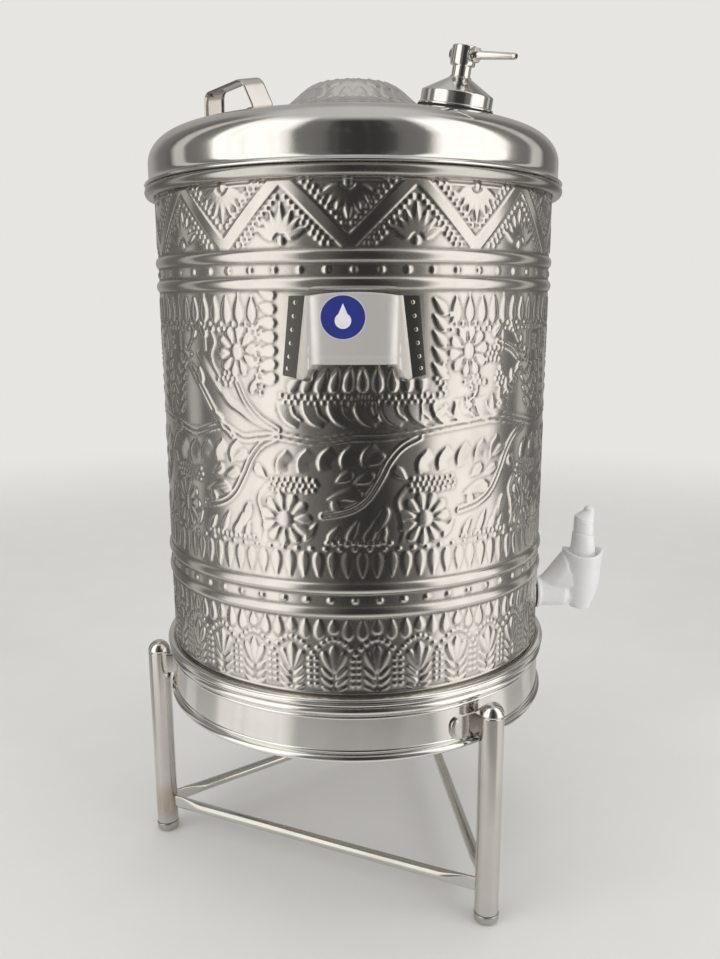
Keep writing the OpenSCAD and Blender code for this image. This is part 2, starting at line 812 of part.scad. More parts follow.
module drum_shell() {
    color(steel) difference() {
        union() {
            rotate_extrude() drum_section();
            drum_ornament();
        }
        at_inlet() bar(tap_tail_d + tail_play, wall_r / 2, drum_d);
    }
}

module rim_wire() {
    color(steel) rotate_extrude() translate([rim_r, rim_z]) circle(d = rim_wire_d);
}

// Pan with a turned-down edge inside the wall
module drum_floor() {
    color(steel) rotate_extrude() {
        translate([0, floor_z - sheet_t]) square([pan_r, sheet_t]);
        translate([pan_r - sheet_t, wall_z]) square([sheet_t, floor_z - wall_z]);
    }
}

// Base bead with the band that drops inside the hoop
module foot_ring() {
    color(polished) rotate_extrude() {
        translate([base_bead_r, base_z + base_bead_d / 2]) circle(d = base_bead_d);
        translate([skirt_r - foot_ring_t, base_z])
            square([base_bead_r - skirt_r + foot_ring_t, base_flange_t]);
        translate([skirt_r - foot_ring_t, base_z - foot_ring_h])
            square([foot_ring_t, foot_ring_h + base_flange_t]);
    }
}

// Level slice of the space behind a handle's plate
module grip_slice(z, out, inset) {
    skin = 0.02;
    translate([0, 0, z - skin]) linear_extrude(skin) {
        for (side = [-1, 1]) translate([side * (grip_w / 2 - grip_round), grip_round - wall_r - out])
            circle(grip_round - inset, $fn = 32);
        translate([inset - grip_w / 2, -wall_r]) square([grip_w - 2 * inset, wall_r / 4]);
    }
}

// Wedge behind a handle's plate, open below when it is inset
module grip_wedge(inset) {
    spread = (grip_low_out - grip_top_out) / grip_h;
    below = inset > 0 ? past : 0;
    hull() {
        grip_slice(grip_top - inset, grip_top_out + spread * inset, inset);
        grip_slice(grip_low - below, grip_low_out + spread * below, inset);
    }
}

// Pressed pocket with two flanges on the drum wall
module pocket_handle() {
    top_half = grip_w / 2 + flange_top_w;
    low_half = grip_w / 2 + flange_low_w;
    flange_low = grip_low - flange_tail;
    color(polished) difference() {
        union() {
            grip_wedge(0);
            intersection() {
                bar(2 * (wall_r + grip_t), flange_low - past, grip_top + past);
                rotate([90, 0, 0]) linear_extrude(drum_d) polygon([
                    [-top_half, grip_top], [-low_half, flange_low],
                    [low_half, flange_low], [top_half, grip_top]
                ]);
            }
        }
        grip_wedge(grip_t);
        translate([grip_t - grip_w / 2, -drum_d, flange_low - past])
            cube([grip_w - 2 * grip_t, drum_d, flange_tail + past]);
        bar(drum_d, flange_low - 2 * past, grip_top + 2 * past);
    }
}

module front_handle() { pocket_handle(); }
module rear_handle() { rotate([0, 0, 180]) pocket_handle(); }

module handle_label() {
    color(label_blue) translate([label_shift, -wall_r - grip_top_out, grip_top]) rotate([-grip_lean, 0, 0])
        translate([0, 0, -label_drop]) rotate([90, 0, 0]) cylinder(d = label_d, h = label_t);
}

// Tap body: tail, wall flange, barrel, web and cup, with the plug's taper
module tap_body() {
    nozzle_r = tap_nozzle_d / 2;
    cup_r = tap_cup_d / 2;
    saddle_r = (cup_r * cup_r + tap_saddle * tap_saddle) / (2 * tap_saddle);
    web_x = tap_flange_x + tap_flange_t;
    color(white_plastic) difference() {
        union() {
            at_inlet() {
                bar(tap_tail_d, wall_in - tap_tail_len, tap_x);
                bar(tap_flange_d, tap_flange_x, web_x);
                bar(tap_barrel_d, tap_flange_x, nose_x - nose_bevel);
                translate([0, 0, nose_x - nose_bevel])
                    cylinder(d1 = tap_barrel_d, d2 = tap_tail_d, h = nose_bevel);
            }
            translate([tap_x, 0, 0]) rotate_extrude() polygon([
                [0, tap_nozzle_z], [nozzle_r, tap_nozzle_z], [nozzle_r, tap_nozzle_z + tap_nozzle_len],
                [tap_barrel_d / 2 + cup_flare, cup_low_z], [cup_r - cup_flare, cup_mid_z],
                [cup_r, tap_cup_z], [0, tap_cup_z]
            ]);
            translate([0, web_t / 2, 0]) rotate([90, 0, 0]) linear_extrude(web_t) polygon([
                [web_x - past, tap_z], [web_x - past, tap_z + tap_barrel_d / 2],
                [tap_x - cup_r + past, tap_cup_z - tap_saddle], [tap_x, tap_z]
            ]);
        }
        at_inlet() bar(tap_bore_d, wall_in - tap_tail_len - past, tap_x);
        translate([tap_x, 0, 0]) {
            bar(tap_bore_d, tap_nozzle_z - past, tap_z);
            translate([0, 0, plug_low_z - rest_gap]) cylinder(
                d1 = plug_low_d + 2 * run_gap, d2 = plug_d + 2 * run_gap,
                h = plug_top_z - plug_low_z + rest_gap
            );
            bar(cup_in_d, plug_top_z, tap_cup_z + past);
            translate([0, cup_r + past, tap_cup_z - tap_saddle + saddle_r])
                rotate([90, 0, 0]) cylinder(r = saddle_r, h = tap_cup_d + 2 * past);
        }
    }
}

module tap_outer_washer() {
    color(rubber) difference() {
        at_inlet() bar(tap_flange_d, wall_r - tap_washer_t, tap_flange_x);
        at_inlet() bar(tap_tail_d, wall_r / 2, drum_d);
        bar(drum_d, 0, tall, $fn = fine);
    }
}

module tap_inner_washer() {
    color(rubber) difference() {
        intersection() {
            at_inlet() bar(tap_nut_af, wall_in - tap_washer_t, wall_r);
            bar(2 * wall_in, 0, tall, $fn = fine);
        }
        at_inlet() bar(tap_tail_d, wall_r / 2, drum_d);
    }
}

module tap_lock_nut() {
    nut_x = wall_in - tap_washer_t;
    color(white_plastic) at_inlet()
        hex_nut(tap_nut_af, tap_tail_d + 2 * fit_gap, nut_x - tap_nut_t, nut_x);
}

// Ring in the cup that keeps the plug down
module tap_bonnet() {
    bonnet_z = plug_top_z + run_gap + plug_flange_t + tap_seal_d + 2 * rest_gap;
    color(white_plastic) translate([tap_x, 0, 0]) difference() {
        bar(cup_in_d - 2 * fit_gap, bonnet_z, bonnet_z + bonnet_t);
        bar(thumb_d + 2 * rest_gap, bonnet_z - past, bonnet_z + bonnet_t + past);
    }
}

// Tapered valve plug with its cross port, and the thumb handle on its stem
module tap_plug() {
    flange_z = plug_top_z + run_gap;
    color(white_plastic) translate([tap_x, 0, 0]) difference() {
        union() {
            translate([0, 0, plug_low_z])
                cylinder(d1 = plug_low_d, d2 = plug_d, h = plug_top_z - plug_low_z);
            bar(plug_d, plug_top_z, flange_z);
            bar(cup_in_d - 2 * rest_gap, flange_z, flange_z + plug_flange_t);
            bar(thumb_d, flange_z, stem_top);
            hull() {
                bar(thumb_d, stem_top - stem_groove, stem_top);
                translate([(thumb_d - thumb_tip_d) / 2, 0, tap_cup_z + thumb_h - thumb_tip_d / 2])
                    sphere(d = thumb_tip_d, $fn = 32);
            }
        }
        bar(port_d, plug_low_z - past, tap_z);
        translate([0, 0, tap_z]) rotate([-90, 0, 0]) cylinder(d = port_d, h = plug_d);
        for (z = stem_groove_zs) rotate_extrude() translate([thumb_d / 2, z]) circle(stem_groove);
    }
}

module tap_seal() {
    seal_z = plug_top_z + run_gap + plug_flange_t + tap_seal_d / 2 + fit_gap;
    color(rubber) translate([tap_x, 0, seal_z]) rotate_extrude()
        translate([(thumb_d + tap_seal_d) / 2 + fit_gap, 0]) circle(d = tap_seal_d, $fn = 32);
}

// Dished lid with a rolled lip and a raised centre
module lid_shell() {
    lip_steps = 5;
    inside = lid_outline(lid_t);
    lip = [for (i = [0:lip_steps]) let (a = 90 * i / lip_steps)
        [lid_r + lip_w * (1 - sin(a)), lid_z + lip_edge + (lip_h - lip_edge) * (1 - cos(a))]];
    color(polished) difference() {
        rotate_extrude() polygon(concat(
            [[lid_r - lid_t, lid_z], [lid_r + lip_w, lid_z]],
            lip, lid_outline(0),
            [for (i = [len(inside) - 1:-1:0]) inside[i]]
        ));
        at_pump() bar(cylinder_d + 2 * rest_gap, -collar_d, collar_d);
    }
}

// Ring under the lid that drops into the drum's mouth
module locating_ring() {
    ring_r = wall_in - locate_play;
    color(steel) intersection() {
        difference() {
            bar(2 * ring_r, rim_top - locate_h, tall);
            bar(2 * (ring_r - locate_t), 0, tall + past);
        }
        lid_filled(lid_t);
    }
}

module strap_handle() {
    half = strap_half(strap_sink);
    other_half = [for (i = [len(half) - 2:-1:1]) [-half[i][0], half[i][1]]];
    color(polished) difference() {
        at_lid(strap_az, strap_r) translate([-strap_w / 2, 0, 0])
            rotate([90, 0, 90]) linear_extrude(strap_w) polygon(concat(half, other_half));
        lid_filled(0);
    }
}

// Saddle gasket between the lid and the collar
module pump_gasket() {
    color(rubber) difference() {
        at_pump() difference() {
            bar(gasket_d, -gasket_sink, gasket_t);
            bar(cylinder_d + 2 * fit_gap, -gasket_sink - past, gasket_t + past);
        }
        lid_filled(0);
    }
}

module pump_collar() {
    out_r = collar_d / 2;
    in_r = out_r - collar_t;
    color(polished) at_pump() rotate_extrude() polygon([
        [in_r, collar_z], [out_r + collar_lip, collar_z], [out_r + collar_lip, collar_z + collar_t],
        [out_r, collar_z + 2 * collar_t], [out_r, cone_z],
        [cone_top_r, collar_top], [neck_bore_r, collar_top],
        [neck_bore_r, cone_under(neck_bore_r)], [in_r, cone_under(in_r)]
    ]);
}

module guide_bush() {
    color(white_plastic) at_pump() difference() {
        bar(2 * bush_r, bush_low, cone_under(bush_r));
        bar(2 * neck_bore_r, 0, collar_top);
    }
}

// Cylinder with its flange under the collar and its nipple for the dip tube
module pump_cylinder() {
    color(white_plastic) at_pump() difference() {
        union() {
            bar(cylinder_d, cylinder_low, bush_low);
            bar(2 * cylinder_flange_r, collar_z, bush_low);
            bar(nipple_d, cylinder_low - nipple_len, cylinder_low + past);
        }
        bar(cylinder_bore, cylinder_floor, bush_low + past);
        bar(valve_bore, cylinder_low - nipple_len - past, cylinder_floor + past);
    }
}

module pump_lower_washer() {
    color(rubber) intersection() {
        at_pump() difference() {
            bar(pump_nut_af, nut_top, lid_t);
            bar(cylinder_d + 2 * fit_gap, nut_top - past, lid_t + past);
        }
        lid_filled(lid_t);
    }
}

module pump_lock_nut() {
    color(white_plastic) at_pump()
        hex_nut(pump_nut_af, cylinder_d + 2 * fit_gap, nut_top - pump_nut_t, nut_top);
}

// Ball that rests on the edge of the cylinder's inlet
module valve_ball() {
    seat = sqrt(ball_d * ball_d - valve_bore * valve_bore) / 2;
    color(steel) at_pump() translate([0, 0, cylinder_floor + seat + fit_gap]) sphere(d = ball_d);
}

module dip_tube() {
    color(white_plastic) at_pump() difference() {
        bar(dip_d, dip_low + strainer_len / 2, cylinder_low);
        bar(dip_bore, dip_low, cylinder_low + past);
    }
}

// Slotted cup at the end of the dip tube
module dip_strainer() {
    color(white_plastic) at_pump() difference() {
        bar(strainer_d, dip_low, dip_low + strainer_len);
        bar(dip_d + 2 * fit_gap, dip_low + strainer_len / 2, dip_low + strainer_len + past);
        bar(dip_bore, dip_low + strainer_slot_w, dip_low + strainer_len);
        for (i = [0:strainer_slots - 1]) rotate([0, 0, 360 * i / strainer_slots])
            translate([0, -strainer_slot_w / 2, dip_low - past])
                cube([strainer_d, strainer_slot_w, strainer_slot_len + past]);
    }
}

// Return spring: one wire swept along a helix
module pump_spring() {
    sides = 6;
    rings_per_turn = 8;
    rings = rings_per_turn * spring_turns;
    ring_points = [for (i = [0:rings], j = [0:sides - 1])
        let (p = coil_point(i / rings), turn = 360 * spring_turns * i / rings, a = 360 * j / sides)
        [p[0] + spring_wire / 2 * cos(a) * cos(turn), p[1] + spring_wire / 2 * cos(a) * sin(turn),
         p[2] + spring_wire / 2 * sin(a)]];
    quads = [for (i = [0:rings - 1], j = [0:sides - 1])
        let (k = (j + 1) % sides) [i * sides + j, i * sides + k, (i + 1) * sides + k, (i + 1) * sides + j]];
    walls = [for (q = quads) each [[q[0], q[2], q[1]], [q[0], q[3], q[2]]]];
    start = [for (j = [1:sides - 2]) [0, j, j + 1]];
    last = rings * sides;
    end = [for (j = [1:sides - 2]) [last, last + j + 1, last + j]];
    color(steel) at_pump() polyhedron(ring_points, concat(walls, start, end), convexity = 8);
}

module piston_rod() {
    color(steel) at_pump() difference() {
        bar(rod_d, piston_low + past, rod_top);
        bar(spout_bore, piston_low, rod_top + past);
    }
}

module piston() {
    groove_z = (piston_top + piston_low) / 2;
    color(white_plastic) at_pump() difference() {
        bar(piston_d, piston_low, piston_top);
        bar(rod_d + 2 * fit_gap, piston_low + past, piston_top + past);
        bar(spout_bore, piston_low - past, piston_top);
        difference() {
            bar(cylinder_bore, groove_z - seal_d / 2 - fit_gap, groove_z + seal_d / 2 + fit_gap);
            bar(cylinder_bore - 2 * seal_d, piston_low, piston_top);
        }
    }
}

module piston_seal() {
    color(rubber) at_pump() translate([0, 0, (piston_top + piston_low) / 2]) rotate_extrude()
        translate([(cylinder_bore - seal_d) / 2 - run_gap, 0]) circle(d = seal_d - 2 * fit_gap, $fn = 32);
}

// Head with its neck, the rod's socket and the water way to the spout
module pump_head() {
    color(polished) at_pump() difference() {
        union() {
            bar(neck_d, neck_low, head_z + past);
            bar(head_d, head_z, head_top - head_bevel);
            translate([0, 0, head_top - head_bevel])
                cylinder(d1 = head_d, d2 = head_d - 2 * head_bevel, h = head_bevel);
            translate([0, 0, spout_z]) rotate([0, 90, 0]) bar(boss_d, -head_r, head_r + boss_out);
        }
        bar(rod_d + 2 * run_gap, neck_low - past, rod_top + rest_gap);
        bar(spout_bore, rod_top, spout_z);
        translate([0, 0, spout_z]) rotate([0, 90, 0]) {
            bar(spout_root_d + 2 * fit_gap, head_r - spout_deep, head_d);
            bar(spout_bore, 0, head_r);
            bar(spout_d + 2 * fit_gap, -head_d, spout_deep - head_r);
        }
    }
}

module spout_nut() {
    color(polished) at_pump() translate([0, 0, spout_z]) rotate([0, 90, 0])
        hex_nut(spout_nut_af, spout_root_d + 2 * fit_gap, head_r + boss_out, spout_nut_x);
}

// Tube with a pointed tip
module spout_tube() {
    color(polished) at_pump() translate([0, 0, spout_z]) rotate([0, 90, 0]) difference() {
        union() {
            bar(spout_root_d, head_r - spout_deep, spout_from);
            bar(spout_d, spout_from, spout_reach - spout_tip);
            translate([0, 0, spout_reach - spout_tip])
                cylinder(d1 = spout_d, d2 = spout_end_d, h = spout_tip);
        }
        bar(spout_bore, 0, spout_reach + past);
    }
}

// Plug that closes the head's second port
module head_plug() {
    color(polished) at_pump() translate([0, 0, spout_z]) rotate([0, 90, 0]) {
        bar(boss_d, -head_r - plug_head_t, -head_r);
        bar(spout_d, -head_r - past, spout_deep - head_r);
    }
}

stand_hoop();
leg_left();
leg_right();
leg_rear();
leg_caps();
foot_plugs();
brace_front();
brace_left();
brace_right();
leg_brackets();
drum_shell();
rim_wire();
drum_floor();
foot_ring();
front_handle();
rear_handle();
handle_label();
tap_body();
tap_outer_washer();
tap_inner_washer();
tap_lock_nut();
tap_bonnet();
tap_plug();
tap_seal();
lid_shell();
locating_ring();
strap_handle();
pump_gasket();
pump_collar();
guide_bush();
pump_cylinder();
pump_lower_washer();
pump_lock_nut();
valve_ball();
dip_tube();
dip_strainer();
pump_spring();
piston_rod();
piston();
piston_seal();
pump_head();
spout_nut();
spout_tube();
head_plug();
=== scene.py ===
"""Looks of a steel water cooler: an embossed drum on a three-legged stand, with a lid, a lid pump and a tap.

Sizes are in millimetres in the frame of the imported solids, and a mesh is turned into metres as it is made.
Directions round the drum are in degrees from the middle of its front, counted towards the tap.
"""

import json
import logging
import math
from dataclasses import dataclass, field
from enum import Enum
from typing import Sequence, Union

import bmesh
import bpy
import numpy as np
from mathutils import Matrix


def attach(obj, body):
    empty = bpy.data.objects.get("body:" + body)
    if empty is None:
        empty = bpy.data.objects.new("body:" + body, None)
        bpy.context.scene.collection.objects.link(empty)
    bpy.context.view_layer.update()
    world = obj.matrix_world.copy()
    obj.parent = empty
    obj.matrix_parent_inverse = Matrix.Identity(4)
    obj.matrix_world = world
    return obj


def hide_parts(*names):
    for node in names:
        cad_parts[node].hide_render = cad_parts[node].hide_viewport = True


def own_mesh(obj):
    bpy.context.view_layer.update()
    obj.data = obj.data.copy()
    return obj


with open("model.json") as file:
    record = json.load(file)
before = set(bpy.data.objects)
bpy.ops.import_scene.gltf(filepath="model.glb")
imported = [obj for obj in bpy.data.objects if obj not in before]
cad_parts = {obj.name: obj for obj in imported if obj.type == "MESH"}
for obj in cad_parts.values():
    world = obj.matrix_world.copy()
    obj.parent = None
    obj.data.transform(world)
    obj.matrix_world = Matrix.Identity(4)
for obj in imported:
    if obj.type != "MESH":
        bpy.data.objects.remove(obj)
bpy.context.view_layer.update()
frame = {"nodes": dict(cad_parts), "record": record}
MM = 0.001
# Metres within which points are merged, and under which a face is a sliver
MERGE = 2e-6
SLIVER = 1e-7
LOG = logging.getLogger("water_cooler")
Array = np.ndarray
Line = Sequence[Sequence[float]]


# Surfaces


@dataclass(frozen=True)
class Place:
    """A local frame: its origin, its x axis and its z axis, in millimetres of the shared frame."""

    origin: tuple[float, ...] = (0.0, 0.0, 0.0)
    along: tuple[float, ...] = (1.0, 0.0, 0.0)
    up: tuple[float, ...] = (0.0, 0.0, 1.0)

    def to(self, points: Array) -> Array:
        """Carries local points into the shared frame: origin + x along + y across + z up."""
        x, z = np.array(self.along), np.array(self.up)
        return np.array(self.origin) + points @ np.stack([x, np.cross(z, x), z])


ROOM = Place()


def arc(
    cx: float, cy: float, radius: float, start: float, stop: float, steps: int = 12, radius_y: float = 0.0
) -> Array:
    """Points on a circle or an ellipse: centre + (radius cos a, radius_y sin a).

    Args:
        cx, cy: Centre.
        radius: Radius along x.
        start, stop: First and last angle, in degrees.
        steps: Number of spans.
        radius_y: Radius along y, the same as along x when it is 0.

    Returns:
        Points as (steps + 1, 2).
    """
    a = np.radians(np.linspace(start, stop, steps + 1))
    return np.stack([cx + radius * np.cos(a), cy + (radius_y or radius) * np.sin(a)], -1)


def rounded(corners: Sequence[Sequence[float]], steps: int = 4) -> Array:
    """Closed outline with eased corners: a quadratic curve from a setback before a corner to one after it.

    Args:
        corners: Each corner as (x, y, setback).
        steps: Spans in each corner's curve.

    Returns:
        Points as (corners * (steps + 1), 2).
    """
    c = np.array(corners, float)
    p, setback = c[:, :2], c[:, 2:]
    back, on = np.roll(p, 1, 0) - p, np.roll(p, -1, 0) - p
    a = p + back / np.linalg.norm(back, axis=1, keepdims=True) * setback
    b = p + on / np.linalg.norm(on, axis=1, keepdims=True) * setback
    t = np.linspace(0, 1, steps + 1)[None, :, None]
    return ((1 - t) ** 2 * a[:, None] + 2 * t * (1 - t) * p[:, None] + t**2 * b[:, None]).reshape(-1, 2)


def smooth_line(points: Sequence[Sequence[float]], spans: int = 12) -> Array:
    """Catmull-Rom curve through points: each span is a cubic along its neighbours' chord at both ends.

    Args:
        points: Points of any dimension.
        spans: Steps between two points.

    Returns:
        Points along the curve.
    """
    p = np.array(points, float)
    q = np.concatenate([[2 * p[0] - p[1]], p, [2 * p[-1] - p[-2]]])
    a, b, c, d = (q[i : len(p) - 1 + i][:, None] for i in range(4))
    t = np.linspace(0, 1, spans, endpoint=False)[None, :, None]
    line = 0.5 * (2 * b + (c - a) * t + (2 * a - 5 * b + 4 * c - d) * t**2 + (3 * b - 3 * c + d - a) * t**3)
    return np.concatenate([line.reshape(-1, p.shape[1]), p[-1:]])


def ease(t: Array) -> Array:
    """Smooth step from 0 to 1: 3 t^2 - 2 t^3, with t held between 0 and 1.

    Args:
        t: Values to ease.

    Returns:
        Eased values.
    """
    t = np.clip(t, 0, 1)
    return t * t * (3 - 2 * t)


def revolve(profile: Array, place: Place = ROOM, cols: int = 96) -> Array:
    """Profile turned round a local z axis: (r cos a, r sin a, z) for each profile point and each angle.

    Args:
        profile: Points (r, z) as (n, 2).
        place: Frame whose z is the axis.
        cols: Steps round the axis.

    Returns:
        Grid as (n, cols, 3).
    """
    a = np.linspace(0, 2 * np.pi, cols, endpoint=False)
    r, z = profile[:, :1], profile[:, 1:]
    return place.to(np.stack([r * np.cos(a), r * np.sin(a), z + 0 * a], -1))


def sweep(path: Array, section: Array, side: Array) -> Array:
    """Section carried along a flat path: path + x side + y (side x tangent) for each section point (x, y).

    Args:
        path: Points as (n, 3).
        section: Closed outline as (m, 2).
        side: Unit vector square to the path's plane.

    Returns:
        Grid as (n, m, 3).
    """
    tangent = np.gradient(path, axis=0)
    tangent /= np.linalg.norm(tangent, axis=1, keepdims=True)
    normal = np.cross(tangent, side)
    return path[:, None] + section[None, :, :1] * side + section[None, :, 1:] * normal[:, None]


def grid_normals(points: Array) -> Array:
    """Unit normals of a grid: the cross product of its steps along the columns and along the rows."""
    n = np.cross(np.gradient(points, axis=1), np.gradient(points, axis=0))
    return n / np.maximum(np.linalg.norm(n, axis=-1, keepdims=True), 1e-9)


class Shell:
    """Points and faces of one piece, gathered from grids, and the Blender object made of them."""

    def __init__(self) -> None:
        """Starts with no points and no faces."""
        self.points: list[Array] = []
        self.faces: list[Array] = []
        self.count = 0

    def add(self, points: Array, faces: Array) -> "Shell":
        """Adds points with the faces that join them.

        Args:
            points: Points of any grid shape, as (..., 3).
            faces: Numbers of each face's points.

        Returns:
            The shell.
        """
        self.points.append(points.reshape(-1, 3))
        self.faces.append(faces + self.count)
        self.count += points.size // 3
        return self

    def grid(self, points: Array, wrap_rows: bool = False) -> "Shell":
        """Adds a grid as quads. Its last column is joined to its first, and so is its last row if asked."""
        return self.add(points, self.quads(points, wrap_rows, True))

    @staticmethod
    def quads(points: Array, wrap_rows: bool, wrap_cols: bool) -> Array:
        """Corner numbers of a grid's quads: each point, the next in its row, and the two above them.

        Args:
            points: Grid as (rows, cols, 3). Its outside is columns x rows.
            wrap_rows: Whether the last row is joined to the first.
            wrap_cols: Whether the last column is joined to the first.

        Returns:
            Numbers as (quads, 4).
        """
        rows, cols = points.shape[:2]
        r = np.arange(rows if wrap_rows else rows - 1)[:, None]
        c = np.arange(cols if wrap_cols else cols - 1)[None, :]
        up, on = (r + 1) % rows, (c + 1) % cols
        return np.stack([r * cols + c, r * cols + on, up * cols + on, up * cols + c], -1).reshape(-1, 4)

    def closed(self, points: Array, ring: bool = False) -> "Shell":
        """Adds a closed body that faces outwards: a tube with its ends drawn to their middles, or a ring.

        Args:
            points: Grid as (rows, cols, 3) whose columns run round.
            ring: Whether the rows run round too.

        Returns:
            The shell.
        """
        if not ring:
            first, last = (np.broadcast_to(points[i].mean(0), points[i].shape)[None] for i in (0, -1))
            points = np.concatenate([first, points, last])
        a, b, c, d = np.moveaxis(points.reshape(-1, 3)[self.quads(points, ring, True)], 1, 0)
        volume = np.sum(a * (np.cross(b, c) + np.cross(c, d)))
        return self.grid(points if volume > 0 else points[:, ::-1], wrap_rows=ring)

    def sheet(self, points: Array, thickness: float) -> "Shell":
        """Adds an open grid with a wall behind it, joined along the border: outside - normal * thickness.

        Args:
            points: Grid as (rows, cols, 3), open both ways.
            thickness: Wall in millimetres.

        Returns:
            The shell.
        """
        rows, cols = points.shape[:2]
        number = np.arange(rows * cols).reshape(rows, cols)
        edge = np.concatenate([number[0, :-1], number[:-1, -1], number[-1, :0:-1], number[:0:-1, 0]])
        on, back = np.roll(edge, -1), rows * cols
        front = self.quads(points, False, False)
        border = np.stack([on, edge, edge + back, on + back], -1)
        inside = points - grid_normals(points) * thickness
        return self.add(np.stack([points, inside]), np.concatenate([front, front[:, ::-1] + back, border]))

    def make(
        self, name: str, body: str, finish: "Finish", stands_for: Sequence[str] = (), crease: float = 34.0
    ) -> bpy.types.Object:
        """Makes the piece, merges its poles, shades it smooth up to a crease angle and hangs it on a body.

        Args:
            name: Piece name.
            body: Body that it moves with.
            finish: Finish that dresses it.
            stands_for: Solids that it replaces.
            crease: Angle in degrees past which an edge is sharp.

        Returns:
            The object.
        """
        mesh = bpy.data.meshes.new(name)
        mesh.from_pydata((np.concatenate(self.points) * MM).tolist(), [], np.concatenate(self.faces).tolist())
        work = bmesh.new()
        work.from_mesh(mesh)
        bmesh.ops.remove_doubles(work, verts=work.verts, dist=MERGE)
        bmesh.ops.dissolve_degenerate(work, edges=work.edges, dist=SLIVER)
        work.to_mesh(mesh)
        work.free()
        mesh.shade_smooth()
        mesh.set_sharp_from_angle(angle=math.radians(crease))
        return hang(mesh, name, body, finish, stands_for)


def hang(
    mesh: bpy.types.Mesh, name: str, body: str, finish: "Finish", stands_for: Sequence[str] = ()
) -> bpy.types.Object:
    """Links a mesh as a piece, dresses it and hangs it on a body.

    Args:
        mesh: Mesh with its place in its points.
        name: Piece name.
        body: Body that it moves with.
        finish: Finish that dresses it.
        stands_for: Solids that it replaces.

    Returns:
        The object.
    """
    piece = bpy.data.objects.new(name, mesh)
    bpy.context.scene.collection.objects.link(piece)
    mesh.materials.append(finish.material)
    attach(piece, body)
    if stands_for:
        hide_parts(*stands_for)
    LOG.info("%s: %d points on %s", name, len(mesh.vertices), body)
    return piece


# Shaders


Value = Union["Sock", float]


class Sock:
    """An output socket that takes part in Python expressions: each operator adds a Math node."""

    def __init__(self, graph: "Graph", socket: bpy.types.NodeSocket) -> None:
        """Keeps the graph and its socket."""
        self.graph = graph
        self.socket = socket

    def math(self, operation: str, *values: Value) -> "Sock":
        """Result of a Math node on some values."""
        return self.graph.node("ShaderNodeMath", {"operation": operation}, dict(enumerate(values)))

    def __add__(self, other: Value) -> "Sock":
        """Sum."""
        return self.math("ADD", self, other)

    def __sub__(self, other: Value) -> "Sock":
        """Difference."""
        return self.math("SUBTRACT", self, other)

    def __rsub__(self, other: Value) -> "Sock":
        """Difference from a number."""
        return self.math("SUBTRACT", other, self)

    def __mul__(self, other: Value) -> "Sock":
        """Product."""
        return self.math("MULTIPLY", self, other)

    def __truediv__(self, other: Value) -> "Sock":
        """Quotient."""
        return self.math("DIVIDE", self, other)

    def __pow__(self, other: Value) -> "Sock":
        """Power."""
        return self.math("POWER", self, other)

    def __lt__(self, other: Value) -> "Sock":
        """1 where this is the smaller, otherwise 0."""
        return self.math("LESS_THAN", self, other)

    def __or__(self, other: Value) -> "Sock":
        """Larger of two values."""
        return self.math("MAXIMUM", self, other)

    def __and__(self, other: Value) -> "Sock":
        """Smaller of two values."""
        return self.math("MINIMUM", self, other)

    __radd__, __rmul__ = __add__, __mul__

    def step(self, low: float, high: float) -> "Sock":
        """Smooth step from 0 at low to 1 at high."""
        limits = {0: self, 1: low, 2: high}
        return self.graph.node("ShaderNodeMapRange", {"interpolation_type": "SMOOTHSTEP"}, limits)


class Graph:
    """The nodes of one material or world."""

    def __init__(self, owner: Union[bpy.types.Material, bpy.types.World]) -> None:
        """Takes a material's or a world's nodes and clears them.

        Args:
            owner: Material or world.
        """
        owner.use_nodes = True
        self.tree = owner.node_tree
        self.tree.nodes.clear()

    def node(
        self, kind: str, settings: dict | None = None, sockets: dict | None = None, out: int | str = 0
    ) -> Sock:
        """Adds a node.

        Args:
            kind: Node type.
            settings: Its settings, set first. The key stops holds a ramp's (position, colour) pairs.
            sockets: Values or links of its inputs, by name or number.
            out: Output to return.

        Returns:
            The output.
        """
        made = self.tree.nodes.new(kind)
        for key, value in (settings or {}).items():
            if key == "stops":
                while len(made.color_ramp.elements) < len(value):
                    made.color_ramp.elements.new(1.0)
                for element, (position, colour) in zip(made.color_ramp.elements, value):
                    element.position, element.color = position, colour
            else:
                setattr(made, key, value)
        for key, value in (sockets or {}).items():
            if isinstance(value, Sock):
                self.tree.links.new(value.socket, made.inputs[key])
            else:
                made.inputs[key].default_value = value
        return Sock(self, made.outputs[out] if made.outputs else None)

    def noise(self, vector: Sock, scale: float, detail: float) -> Sock:
        """Noise between 0 and 1 at a scale."""
        sockets = {"Vector": vector, "Scale": scale, "Detail": detail, "Roughness": 0.55}
        return self.node("ShaderNodeTexNoise", None, sockets)

    def mix(self, factor: Value, a: object, b: object) -> Sock:
        """Blend of two colours."""
        return self.node("ShaderNodeMix", {"data_type": "RGBA"}, {0: factor, 6: a, 7: b}, 2)

    def vector(self, x: Value, y: Value, z: Value) -> Sock:
        """Vector from three values."""
        return self.node("ShaderNodeCombineXYZ", None, {0: x, 1: y, 2: z})

    def split(self, vector: Sock) -> list[Sock]:
        """The three parts of a vector."""
        made = self.node("ShaderNodeSeparateXYZ", None, {0: vector}).socket.node
        return [Sock(self, made.outputs[i]) for i in range(3)]

    def bump(self, height: Sock, strength: float, distance: float) -> Sock:
        """Normal from a height."""
        sockets = {"Strength": strength, "Distance": distance, "Height": height}
        return self.node("ShaderNodeBump", None, sockets)


Colour = tuple[float, float, float]


def rgba(colour: Colour, gain: float = 1.0) -> tuple[float, ...]:
    """Colour with its gain and a full alpha."""
    return (*(c * gain for c in colour), 1.0)


class Grain(Enum):
    """Way that the polishing marks run."""

    ROUND = "round the upright axis"
    UP = "along the upright axis"
    CLOUDY = "no direction"


